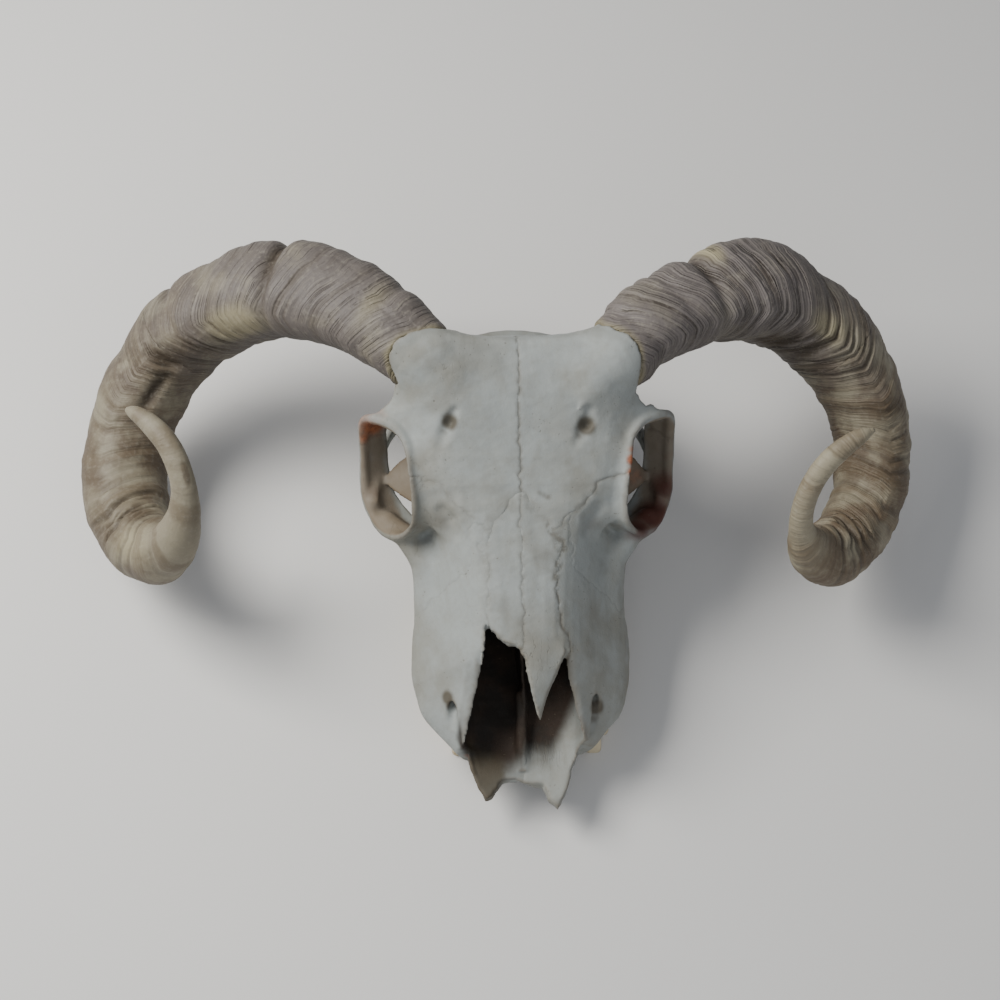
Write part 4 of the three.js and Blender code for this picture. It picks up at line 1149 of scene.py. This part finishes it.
def bone_material(look):
    """Weathered bone: grey-white, tanned in patches, with painted shade in its hollows, creases, pits and
    nose, rusty round the eyes.
    """
    material, b, shader, place = new_material("weathered bone")
    broad, blotch = b.noise(20, place), b.noise(70, place, detail=5)
    fine, grit = b.noise(420, place, detail=4), b.noise(1500, place, detail=2)
    streak = b.noise(150, b.stretched(place, 1.0, 0.12, 1.0), detail=5)
    bone, tan, soil_and_shade, rust = (
        opaque(c) for c in (look.bone_colour, look.tan_colour, look.nose_shade_colour, look.rust_colour))
    base = b.mix(b.between(broad + blotch * 0.5, 0.62, 0.98), bone, tan)
    base = b.mix(b.between(streak, 0.5, 0.72) * 0.3, base, tan)
    base = b.mix(b.between(fine, 0.45, 0.75) * 0.22, base, DUST)
    base = b.mix(b.between(blotch, 0.54, 0.74) * 0.35, base, CHALK)
    # Painted shade: the bone turns darker tan where other bone shuts it in within a few millimetres.
    shut_in_shade = b.between(b.attribute("shade") + blotch * 0.2, 0.64, 0.97)
    base = b.mix(shut_in_shade * 0.45, base, SHADY_TAN)
    # Painted shade: the bone is darkened towards brown in its creases and hollow corners.
    crease_shade = b.between(b.attribute("crease") * -1 + fine * 0.12, 0.16, 0.62)
    base = b.mix(crease_shade * 0.45, base, CREASE_SHADE_BROWN)
    base = b.mix(b.patchy("eye", blotch, 0.3, 0.3, 0.95) * 0.7, base, SOCKET_BROWN)
    # Painted shade: the inside of the nose is turned near-black brown by the nose mask.
    nose = b.patchy("nose", blotch, 0.4, 0.1, 0.9)
    base = b.mix(nose * 0.97, base, b.mix(b.between(blotch, 0.4, 0.62), soil_and_shade, NOSE_SHADE_BROWN))
    # Soil spots: dirt together with painted shade, darkening holes, pits and places the light reaches less.
    base = b.mix(b.patchy("soil_and_shade", blotch, 0.6, 0.2, 0.95) * 0.82, base, DRY_MUD_AND_SHADE)
    rusty = b.mix(b.between(fine, 0.4, 0.65), rust, DARK_RUST)
    base = b.mix(b.patchy("rust", blotch, 0.7, 0.15, 0.85) * 0.85, base, rusty)
    # Old blood stain, deepened with painted shade low in the eye sockets.
    base = b.mix(b.patchy("blood_and_shade", blotch, 0.7, 0.15, 0.85) * 0.9, base, OLD_BLOOD_AND_SHADE)
    seam = b.attribute("suture") * b.between(b.noise(260, place, detail=3), 0.32, 0.56)
    base = b.mix(seam * 0.75, base, SUTURE_BROWN)
    pits = b.between(b.noise(900, place, detail=1, rough=0.3), 0.69, 0.78)
    speck = pits * b.between(blotch, 0.5, 0.62)
    base = b.mix(speck * 0.5, base, PIT_BROWN)
    thread = b.math("ABSOLUTE", b.noise(120, b.stretched(place, 1.0, 0.14, 1.0), detail=4) - 0.5)
    crack = (1 - b.between(thread, 0.0, 0.008)) * b.between(broad, 0.55, 0.66)
    base = b.mix(crack * 0.3, base, CRACK_BROWN)
    shader.inputs["Specular IOR Level"].default_value = 0.35
    height = fine * 0.4 + grit * 0.2 + streak * 0.5 - speck * 0.6 - crack * 0.7 - seam * 0.5
    set_surface(b, shader, base, 0.5 + fine * 0.3 + nose * 0.12, height, 0.5, 0.0006)
    return material


WORN_HORN, PALE_HORN, DARK_HORN_AND_SHADOW = srgb(158, 150, 126), srgb(172, 162, 128), srgb(82, 68, 50)
BAND_BROWN, KEY_SIDE_SHADE_GREY, ROOT_HORN = srgb(98, 82, 60), srgb(72, 66, 58), srgb(134, 125, 92)
LINE_BROWN, LINE_CREAM, HORN_DUST = srgb(50, 42, 35), srgb(168, 160, 142), srgb(150, 144, 130)
GROOVE_SHADE_BROWN, FURROW_SHADE_BROWN = srgb(66, 56, 44), srgb(56, 46, 34)


def horn_material(look):
    """Horn: lilac-grey near the skull, tan and cream further out, with fine dark growth lines, painted shade
    in its grooves and creases, and the horn nearer the key light greyed down as painted shade.
    """
    material, b, shader, place = new_material("ringed horn")
    run, line, groove, dusk = (b.attribute(label) for label in ("run", "line", "groove", "dusk"))
    drift, fine = b.noise(55, place, detail=4), b.noise(520, place, detail=4)
    horn, cream, brown = (opaque(c) for c in (look.horn_colour, look.cream_colour, look.brown_colour))
    aged = b.between(run + drift * 90, 110, 230)
    base = b.mix(aged, horn, b.mix(b.between(drift, 0.42, 0.66), brown, cream))
    base = b.mix(b.between(run, 262, 300) * 0.8, base, cream)
    patch = b.between(b.noise(34, place, detail=5), 0.52, 0.68)
    base = b.mix(patch * (0.45 - dusk * 0.25), base, WORN_HORN)
    base = b.mix(b.patchy("pale", drift, 0.4, 0.1, 0.8) * 0.75, base, PALE_HORN)
    # Dark patches: the horn's own dark brown, together with painted shadow along its creases.
    base = b.mix(b.patchy("dark_and_shadow", drift, 0.4, 0.1, 0.8) * 0.7, base, DARK_HORN_AND_SHADOW)
    band = b.between(b.noise(1.0, along=line * 0.07 + drift * 0.6, detail=1.5), 0.46, 0.62)
    base = b.mix(band * aged * 0.45, base, BAND_BROWN)
    # Painted shade: the horn on the animal's right, nearer the key light, is greyed down to even out the
    # light between the two horns.
    base = b.mix((1 - dusk) * 0.32, base, KEY_SIDE_SHADE_GREY)
    near = 1 - b.between(run + drift * 60, 130, 250) * (0.96 - dusk * 0.2)
    hair = b.math("ABSOLUTE", b.noise(1.0, along=line * 0.27 + drift * 0.6, detail=1.5, rough=0.5) - 0.5)
    hairline = (1 - b.between(hair, 0.0, 0.024)) * b.between(b.noise(100, place), 0.36, 0.6) * near
    base = b.mix(hairline * (0.3 + dusk * 0.5), base, LINE_BROWN)
    pale = b.math("ABSOLUTE", b.noise(1.0, along=line * 0.3 + drift * 0.5 + 90.0, detail=2) - 0.5)
    paleline = (1 - b.between(pale, 0.0, 0.03)) * b.between(b.noise(90, place), 0.48, 0.62) * near
    base = b.mix(paleline * 0.22, base, LINE_CREAM)
    root = 1 - b.between(b.attribute("lip") + drift * 6, 2.0, 7.0)
    base = b.mix(root * 0.7, base, ROOT_HORN)
    # Painted shade: the horn darkens in its rings, waves and wrinkles, and in its furrows and waists, by how
    # deep they are pressed.
    base = b.mix(b.between(groove, 0.35, 0.95) * 0.66, base, GROOVE_SHADE_BROWN)
    base = b.mix(b.between(b.attribute("sunk"), 0.25, 1.0) * 0.75, base, FURROW_SHADE_BROWN)
    base = b.mix(b.between(fine, 0.5, 0.72) * 0.22, base, HORN_DUST)
    shader.inputs["Specular IOR Level"].default_value = 0.4
    ridges = b.noise(1.0, along=line * 0.6 + drift * 1.2, detail=1)
    height = fine * 0.35 + ridges * (0.2 + near * 0.4 + dusk * 0.5) - hairline * 0.8
    set_surface(b, shader, base, 0.45 + fine * 0.3, height, 0.7, 0.001)
    return material


TOOTH_STAIN, FOLD_BROWN = srgb(168, 146, 104), srgb(74, 56, 38)


def tooth_material(look):
    """Tooth: worn cream enamel with brown stain in its folds."""
    material, b, shader, place = new_material("worn tooth")
    blotch = b.noise(240, b.stretched(place, 1, 1, 0.35), detail=4)
    base = b.mix(b.between(blotch, 0.45, 0.65), opaque(look.enamel_colour), TOOTH_STAIN)
    base = b.mix(b.between(b.attribute("fold"), 0.3, 0.9), base, FOLD_BROWN)
    set_surface(b, shader, base, 0.25 + blotch * 0.3, blotch, 0.3, 0.0004)
    return material


# ---- horns ----
GRAIN = 0.75
HORN_ROOT = 12.0
HORN_PARTS = ("base", "bend", "tip")
RING_SHARE = {"left": 1.3, "right": 0.6}
LID_RINGS = 4


def horn_skin(horn, first, last, sides):
    """One length of a horn as plain rings, with what the ring pattern needs to know at each point."""
    steps = int(horn["length"] / (GRAIN * 1))
    before = int(HORN_ROOT / horn["length"] * steps) if first == 0 else 0
    share, place, _, inward, across = grow_horn(horn, steps, before)
    a, b = round(first * steps), before + round(last * steps)
    rows = slice(a, b + 1)
    u = share[rows, None]
    turn = np.linspace(0, 2 * math.pi, sides, endpoint=False)[None]
    corner = HORN_CORNER * np.clip(1.2 - u, 0, 1)
    form = 1 + corner * np.cos(3 * (turn + horn["side"] * CORNER_TURN))
    facing = facing_turn(horn, turn) + 0 * u
    furrow = patches(horn["furrows"], u, facing)
    lip = u * horn["length"] - horn["rim"](np.degrees(facing))
    tucked = 3.4 * np.clip(0.3 - lip / 1.6, 0, 1) ** 1.5 - ROOT_TAPER * np.minimum(u, 0) * horn["length"]
    reach = (horn["width"](u) / 2 - 0.45) * form - waist_depth(horn, u, turn) - furrow - tucked
    out = np.cos(turn)[..., None] * inward[rows, None] + np.sin(turn)[..., None] * across[rows, None]
    points = place[rows, None] + inward[rows, None] * horn["sway"](u)[..., None] + reach[..., None] * out
    flat = np.zeros((b - a + 1, sides))
    marks = {
        "run": u * horn["length"] + flat, "turn": facing + flat, "thick": horn["width"](u) / 2 + flat,
        "wrinkled": patches(horn["wrinkled"], u, facing) + flat,
        "sunk": np.clip(furrow / 2 + waist_depth(horn, u, turn) / 4, 0, 1) + flat, "lip": lip + flat,
        # dusk is 1 on the horn on the animal's left, the one away from the key light.
        "dusk": max(horn["side"], 0) + flat,
        "pale": patches(horn["pale"], u, facing) + flat, "dark_and_shadow": patches(horn["dark_and_shadow"], u, facing) + flat,
    }
    marks = {label: values.ravel() for label, values in marks.items()}
    return points.reshape(-1, 3), ring_quads(len(flat), sides), out.reshape(-1, 3), marks


def close_ends(mesh_points, faces, sides):
    """Adds a fan of shrinking rings over each open end, so that the skin is closed."""
    points, more = [mesh_points], [faces]
    count = len(mesh_points)
    for base, flip in ((0, True), (count - sides, False)):
        ring = mesh_points[base:base + sides]
        middle = ring.mean(0)
        start = sum(len(p) for p in points)
        points.append(middle + (ring - middle) * 0.5)
        points.append(middle[None] + (ring - middle) * 0.02)
        k = np.arange(sides)
        n = (k + 1) % sides
        for inner, outer in ((start, base), (start + sides, start)):
            quad = np.stack([outer + k, outer + n, inner + n, inner + k], 1)
            more.append(quad[:, ::-1] if flip else quad)
        lid = np.stack([start + sides + k[0:sides // 2], start + sides + k[1:sides // 2 + 1],
                        start + sides + (sides - 1 - k[0:sides // 2]) % sides,
                        start + sides + (sides - k[0:sides // 2]) % sides], 1)
        more.append(lid[1:-1][:, ::-1] if flip else lid[1:-1])
    return np.vstack(points), np.vstack(more)


RING_INPUTS = (("Ring Spacing", 5.0), ("Ring Depth", 0.45), ("Wave Spacing", 19.0), ("Wave Depth", 0.9),
               ("Wrinkle Depth", 1.1), ("Kink", 9.0), ("Seed", 1.0))


def ring_tree(name):
    """Nodes that press growth rings, wrinkles and slow swellings into a horn, always inwards."""
    tree = bpy.data.node_groups.new(name, "GeometryNodeTree")
    face = tree.interface
    face.new_socket("Geometry", in_out="INPUT", socket_type="NodeSocketGeometry")
    for label, value in RING_INPUTS:
        socket = face.new_socket(label, in_out="INPUT", socket_type="NodeSocketFloat")
        socket.default_value = value
    face.new_socket("Finish", in_out="INPUT", socket_type="NodeSocketMaterial")
    face.new_socket("Geometry", in_out="OUTPUT", socket_type="NodeSocketGeometry")
    b = Board(tree)
    source = tree.nodes.new("NodeGroupInput")

    def given(label):
        return Wire(b, source.outputs[label])

    def named(label, kind="FLOAT"):
        made = tree.nodes.new("GeometryNodeInputNamedAttribute")
        made.data_type = kind
        made.inputs["Name"].default_value = label
        return Wire(b, made.outputs[0])

    run, turn, thick = named("run"), named("turn"), named("thick")
    place = b.node("GeometryNodeInputPosition")
    wander = b.noise(30.0, place, detail=2)
    corner = b.math("MAXIMUM", 1 - b.math("ABSOLUTE", turn) * 0.72, 0.0)
    strong = b.between(thick, 3.5, 15.0)
    line = run - corner * given("Kink") * strong + wander * 7.0 + given("Seed") * 37.0
    rings = b.between(b.noise(1.0, along=line / given("Ring Spacing"), detail=1.5), 0.34, 0.62)
    waves = b.between(b.noise(1.0, along=line / given("Wave Spacing") + 50.0, detail=1), 0.34, 0.64)
    short = b.node("ShaderNodeCombineXYZ", {0: line / 4.0, 1: turn * 0.7, 2: given("Seed")})
    wrinkles = b.between(b.noise(1.0, short, detail=1), 0.36, 0.6)
    lengthwise = b.node("ShaderNodeCombineXYZ", {0: turn * 4.0, 1: run * 0.03, 2: given("Seed")})
    grain = b.noise(1.0, lengthwise, detail=3)
    rough = b.between(b.noise(150.0, place, detail=3), 0.3, 0.7)
    deep = (1 - rings) * given("Ring Depth") * (0.4 + wander) + (1 - waves) * given("Wave Depth")
    deep = deep + (1 - wrinkles) * named("wrinkled") * given("Wrinkle Depth")
    deep = deep + b.between(grain, 0.55, 0.78) * 0.4 + rough * 0.15
    deep = deep * (strong * 0.92 + 0.08)
    # The depth of the pressed grooves, which the horn's finish darkens as painted shade.
    stored = b.node("GeometryNodeStoreNamedAttribute", {
        "Geometry": given("Geometry"), "Name": "groove",
        "Value": ((1 - rings) * 0.45 + (1 - waves) * 0.25 + (1 - wrinkles) * named("wrinkled")) * strong,
    }, data_type="FLOAT", domain="POINT")
    stored = b.node("GeometryNodeStoreNamedAttribute", {
        "Geometry": stored, "Name": "line", "Value": line}, data_type="FLOAT", domain="POINT")
    away = b.node("ShaderNodeVectorMath", {0: named("outward", "FLOAT_VECTOR"), "Scale": deep * (-MM)},
                  operation="SCALE")
    moved = b.node("GeometryNodeSetPosition", {"Geometry": stored, "Offset": away})
    whole = b.node("GeometryNodeRealizeInstances", {"Geometry": moved})
    done = b.node("GeometryNodeSetMaterial", {"Geometry": whole, "Material": given("Finish")})
    sink = tree.nodes.new("NodeGroupOutput")
    b.plug(sink.inputs["Geometry"], done)
    return tree


def apply_tree(piece, tree, values):
    """Runs a node tree on a piece with the named inputs, and keeps only the mesh that comes out."""
    modifier = piece.modifiers.new(tree.name, "NODES")
    modifier.node_group = tree
    for item in tree.interface.items_tree:
        if item.in_out == "INPUT" and item.name in values:
            modifier[item.identifier] = values[item.name]
    bpy.context.view_layer.update()
    graph = bpy.context.evaluated_depsgraph_get()
    ready = piece.evaluated_get(graph)
    mesh = bpy.data.meshes.new_from_object(ready, preserve_all_data_layers=True, depsgraph=graph)
    piece.modifiers.remove(modifier)
    old, piece.data = piece.data, mesh
    bpy.data.meshes.remove(old)
    mesh.name = piece.name
    return piece


def grow_one_horn(word, look, tree, finish):
    horn = HORNS[word]
    sides = 144
    for k, part in enumerate(HORN_PARTS):
        points, faces, out, marks = horn_skin(horn, HORN_CUTS[k], HORN_CUTS[k + 1], sides)
        extra = LID_RINGS * sides
        points, faces = close_ends(points, faces, sides)
        name = f"horn_{word}_{part}"
        padded = [(label, np.concatenate([values, np.zeros(extra)])) for label, values in marks.items()]
        piece = mesh_object(name + "_ringed", points, outward(points, faces), padded)
        layer = piece.data.attributes.new("outward", "FLOAT_VECTOR", "POINT")
        layer.data.foreach_set("vector", np.vstack([out, np.zeros((extra, 3))]).astype(np.float32).ravel())
        apply_tree(piece, tree, {
            "Ring Spacing": look.ring_spacing, "Ring Depth": look.ring_depth * RING_SHARE[word],
            "Wave Spacing": look.wave_spacing, "Wave Depth": look.wave_depth,
            "Wrinkle Depth": look.wrinkle_depth, "Kink": look.kink,
            "Seed": float(look.seed + horn["side"]), "Finish": finish,
        })
        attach(piece, "root")
        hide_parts(name)


# ---- teeth ----
TOOTH_LENGTHS = (8, 9.5, 10.5, 14, 16.5, 17.5)
TOOTH_WIDTHS = (8, 11, 12.5, 14, 15, 13.5)
TOOTH_FRONT, TOOTH_TOP, TOOTH_LEAN = 6.0, 16.5, 2.0
TOOTH_SHIFT = {"left": 2.6, "right": -2.6}
SHIFTED_TEETH = 2
# A crown's heights and its size at each, from its root to its worn edge.
CROWN = ((TOOTH_TOP, 0.82), (13.5, 0.93), (10, 0.97), (6, 1.0), (2.5, 0.985), (0.7, 0.97), (0.15, 0.945))


def tooth_outline(count, lobes):
    """A tooth's outline, u along the row and v from its outer wall inwards, with a folded outer wall."""
    angle = np.linspace(0, 2 * math.pi, count, endpoint=False)
    u = np.sign(np.cos(angle)) * np.abs(np.cos(angle)) ** 0.55 / 2
    v = np.sign(np.sin(angle)) * np.abs(np.sin(angle)) ** 0.6 / 2
    fold = 0.07 * np.cos(2 * math.pi * u * lobes + (math.pi if lobes == 1 else 0))
    inner = 0.16 * np.abs(np.sin(math.pi * u * lobes)) * (lobes > 1)
    return u, np.where(v < 0, v * (1 - fold * 1.6), v * (1 - inner))


def cheek_tooth(word, side, k, finish):
    """One cheek tooth: a folded crown worn to a flat, with two crescents hollowed in the flat."""
    start = TOOTH_FRONT + sum(TOOTH_LENGTHS[:k])
    long, wide = TOOTH_LENGTHS[k] - 0.5, TOOTH_WIDTHS[k]
    middle = start + TOOTH_LENGTHS[k] / 2
    outer = float(JAW_HALF(middle)) + 1.0 + TOOTH_SHIFT[word] * (k < SHIFTED_TEETH)
    lobes = 2 if k > 2 else 1
    count = 72
    u, v = tooth_outline(count, lobes)
    points, fold = [], []
    for z, size in CROWN:
        lean = TOOTH_LEAN * (z / TOOTH_TOP)
        across = side * (outer - wide / 2 - lean * 0.6 + v * wide * size)
        points.append(np.stack([across, middle + u * long * size, np.full(count, z)], 1))
        groove = np.clip((0.42 - np.hypot(u * 0.8, v)) * 4, 0, 1) + (z > 12) * 0.6
        fold.append(groove)
    for size in (0.9, 0.8, 0.7, 0.6, 0.5, 0.4, 0.3, 0.2, 0.1, 0.01):
        pu, pv = u * size, v * size
        hollow = np.zeros(count)
        for lobe in ([0.0] if lobes == 1 else [-0.25, 0.25]):
            ring = np.hypot((pu - lobe) * lobes, pv * 1.15)
            hollow = np.maximum(hollow, np.exp(-(((ring - 0.24) / 0.07) ** 2)))
        across = side * (outer - wide / 2 + pv * wide * 0.945)
        points.append(np.stack([across, middle + pu * long * 0.945, hollow * 1.3], 1))
        fold.append(hollow)
    rings = np.array(points)
    m = len(rings)
    faces = ring_quads(m, count)
    half = np.arange(1, count // 2 - 1)
    roof = np.stack([half, half + 1, count - 1 - half, count - half], 1)
    floor = roof[:, ::-1] + (m - 1) * count
    points = rings.reshape(-1, 3)
    faces = np.vstack([faces, roof, floor])
    piece = mesh_object(f"cheek_tooth_{word}_{k + 1}", points, outward(points, faces),
                        (("fold", np.concatenate(fold)),))
    piece.data.materials.append(finish)
    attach(piece, "root")
    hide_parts("maxilla_" + word)


# ---- the stage ----
EYE = dict(lens=80.0, elevation=62.0, yaw=2.0, roll=1.0, distance=933.0, target=(-8.7, 85.2, 90.5))


SKULL_MIDDLE = (0, 90, 60)
KEY_PLACE, KEY_SIZE, KEY_COLOUR = (-610, 250, 750), 0.5, (1, 0.99, 0.96)
FILL_PLACE, FILL_SIZE, FILL_COLOUR = (200, -700, 800), 0.9, (0.92, 0.96, 1)
FILL_SHARE = 0.24
ROOM_COLOUR = (0.86, 0.9, 1.0, 1)


def camera_axes():
    """The view's right, up and backward directions."""
    tip, yaw, roll = (math.radians(EYE[k]) for k in ("elevation", "yaw", "roll"))
    right = np.array([1.0, 0, 0])
    up = np.array([0, math.sin(tip), math.cos(tip)])
    back = np.array([0, -math.cos(tip), math.sin(tip)])
    back, right = back * math.cos(yaw) - right * math.sin(yaw), right * math.cos(yaw) + back * math.sin(yaw)
    up, right = up * math.cos(roll) + right * math.sin(roll), right * math.cos(roll) - up * math.sin(roll)
    return right, up, back


def set_camera():
    right, up, back = camera_axes()
    camera = bpy.data.cameras.new("Camera")
    camera.lens, camera.sensor_width = EYE["lens"], 36.0
    camera.clip_start, camera.clip_end = 0.05, 20.0
    holder = bpy.data.objects.new("Camera", camera)
    bpy.context.scene.collection.objects.link(holder)
    place = (np.array(EYE["target"]) + ORIGIN + EYE["distance"] * back) * MM
    rows = [list(column) + [p] for column, p in zip(np.stack([right, up, back], 1), place)]
    holder.matrix_world = Matrix(rows + [[0, 0, 0, 1]])
    bpy.context.scene.camera = holder


def soft_light(name, place, size, power, colour):
    """A square light at a place in millimetres about the skull's origin, turned to the skull's middle."""
    lamp = bpy.data.lights.new(name, "AREA")
    lamp.size, lamp.energy, lamp.color = size, power, colour
    holder = bpy.data.objects.new(name, lamp)
    bpy.context.scene.collection.objects.link(holder)
    aim = Vector((np.array(SKULL_MIDDLE) + ORIGIN) * MM)
    holder.location = Vector((np.array(place) + ORIGIN) * MM)
    holder.rotation_mode = "QUATERNION"
    holder.rotation_quaternion = (holder.location - aim).to_track_quat("Z", "Y")


def lay_floor(look):
    material, _, shader, _ = new_material("pale floor")
    shader.inputs["Base Color"].default_value = opaque(look.floor_colour)
    shader.inputs["Roughness"].default_value = 0.9
    mesh = bpy.data.meshes.new("floor")
    s = look.floor_size / 2
    mesh.from_pydata([(-s, -s, 0), (s, -s, 0), (s, s, 0), (-s, s, 0)], [], [(0, 1, 2, 3)])
    mesh.materials.append(material)
    floor = bpy.data.objects.new("floor", mesh)
    bpy.context.scene.collection.objects.link(floor)


def light_room(look):
    world = bpy.data.worlds.new("room")
    world.use_nodes = True
    sky = world.node_tree.nodes["Background"]
    sky.inputs[0].default_value = ROOM_COLOUR
    sky.inputs[1].default_value = look.room_light
    bpy.context.scene.world = world
    soft_light("key", KEY_PLACE, KEY_SIZE, look.key_power, KEY_COLOUR)
    soft_light("fill", FILL_PLACE, FILL_SIZE, look.key_power * FILL_SHARE, FILL_COLOUR)


# ---- the add-on ----
def colour_property(label, text, red, green, blue):
    return FloatVectorProperty(name=label, description=text, subtype="COLOR", min=0, max=1,
                               default=srgb(red, green, blue)[:3])


def size_property(label, text, value, low, high):
    return FloatProperty(name=label, description=text, default=value, min=low, max=high)


class BoneLook(PropertyGroup):
    detail: size_property("Detail", "Size of the smallest step of the carving, in millimetres", 0.7, 0.5, 3)
    bone_colour: colour_property("Bone", "Colour of clean bone", 144, 148, 145)
    tan_colour: colour_property("Tan", "Colour of the tanned patches", 124, 122, 112)
    # The nose colour below is painted shade: the near-black brown painted deep inside the nose.
    nose_shade_colour: colour_property("Soil", "Colour of the dirt deep inside", 30, 22, 14)
    rust_colour: colour_property("Rust", "Colour of the stains round the eyes", 152, 84, 44)


class HornLook(PropertyGroup):
    ring_spacing: size_property("Ring spacing", "Distance between growth rings, in millimetres", 5.0, 1, 12)
    ring_depth: size_property("Ring depth", "Depth of the growth rings, in millimetres", 0.45, 0, 3)
    wave_spacing: size_property("Wave spacing", "Length of the slow swellings, in millimetres", 19, 5, 80)
    wave_depth: size_property("Wave depth", "Depth of the slow swellings, in millimetres", 0.9, 0, 6)
    wrinkle_depth: size_property("Wrinkle depth", "Depth of the wrinkled patches, in millimetres", 2.5, 0, 4)
    kink: size_property("Kink", "How far the rings bend at the horn's edge, in millimetres", 12, 0, 30)
    seed: IntProperty(name="Seed", description="Changes the pattern of the rings", default=3)
    horn_colour: colour_property("Horn", "Colour of the horn near the skull", 104, 97, 93)
    cream_colour: colour_property("Cream", "Colour of the pale parts", 146, 138, 117)
    brown_colour: colour_property("Brown", "Colour of the brown parts", 96, 82, 64)


class ToothLook(PropertyGroup):
    enamel_colour: colour_property("Enamel", "Colour of the enamel", 206, 192, 160)


class StageLook(PropertyGroup):
    floor_colour: colour_property("Floor", "Colour of the floor", 214, 212, 208)
    floor_size: FloatProperty(name="Floor size", description="Width of the floor", default=6.0, unit="LENGTH")
    key_power: FloatProperty(name="Key light", description="Strength of the main light", default=13.2,
                             unit="POWER")
    room_light: FloatProperty(name="Room light", description="Strength of the light from all round",
                              default=0.3)


class RAMSKULL_OT_bones(Operator):
    """Carve the bones of the skull and part them"""

    bl_idname = "ramskull.bones"
    bl_label = "Carve Bones"

    def execute(self, context):
        look = context.scene.ram_skull_bones
        clay = carve_skull(look.detail)
        parting, hollows = Parting(clay), hollow_maps(clay)
        finish = bone_material(look)
        for k, name in enumerate(BONES):
            piece = part_bone(clay, parting, hollows, k)
            piece.data.materials.append(finish)
            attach(piece, "root")
            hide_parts(name)
        return {"FINISHED"}


class RAMSKULL_OT_horns(Operator):
    """Grow the two horns with their rings"""

    bl_idname = "ramskull.horns"
    bl_label = "Grow Horns"

    def execute(self, context):
        look = context.scene.ram_skull_horns
        tree, finish = ring_tree("horn rings"), horn_material(look)
        for word in HORNS:
            grow_one_horn(word, look, tree, finish)
        return {"FINISHED"}


class RAMSKULL_OT_teeth(Operator):
    """Set the cheek teeth"""

    bl_idname = "ramskull.teeth"
    bl_label = "Set Teeth"

    def execute(self, context):
        finish = tooth_material(context.scene.ram_skull_teeth)
        for word, side in (("left", 1), ("right", -1)):
            for k in range(len(TOOTH_LENGTHS)):
                cheek_tooth(word, side, k, finish)
        return {"FINISHED"}


class RAMSKULL_OT_stage(Operator):
    """Lay the floor and set the lights and the camera"""

    bl_idname = "ramskull.stage"
    bl_label = "Set Stage"

    def execute(self, context):
        look = context.scene.ram_skull_stage
        lay_floor(look)
        light_room(look)
        set_camera()
        return {"FINISHED"}


class RAMSKULL_PT_panel(Panel):
    """Sizes, colours and buttons for the ram skull"""

    bl_idname = "RAMSKULL_PT_panel"
    bl_label = "Ram Skull"
    bl_space_type = "VIEW_3D"
    bl_region_type = "UI"
    bl_category = "Ram Skull"

    def draw(self, context):
        for group, _, operator in PARTS:
            box = self.layout.box()
            look = getattr(context.scene, group)
            for key in look.bl_rna.properties.keys():
                if key not in ("rna_type", "name"):
                    box.prop(look, key)
            box.operator(operator.bl_idname)


PARTS = (
    ("ram_skull_bones", BoneLook, RAMSKULL_OT_bones),
    ("ram_skull_horns", HornLook, RAMSKULL_OT_horns),
    ("ram_skull_teeth", ToothLook, RAMSKULL_OT_teeth),
    ("ram_skull_stage", StageLook, RAMSKULL_OT_stage),
)
CLASSES = (*(look for _, look, _ in PARTS), *(operator for _, _, operator in PARTS), RAMSKULL_PT_panel)


def register():
    for made in CLASSES:
        bpy.utils.register_class(made)
    for group, look, _ in PARTS:
        setattr(bpy.types.Scene, group, PointerProperty(type=look))


def unregister():
    for group, _, _ in PARTS:
        delattr(bpy.types.Scene, group)
    for made in reversed(CLASSES):
        bpy.utils.unregister_class(made)


def main():
    register()
    bpy.ops.ramskull.stage()
    bpy.ops.ramskull.bones()
    bpy.ops.ramskull.horns()
    bpy.ops.ramskull.teeth()


if __name__ == "__main__":
    main()
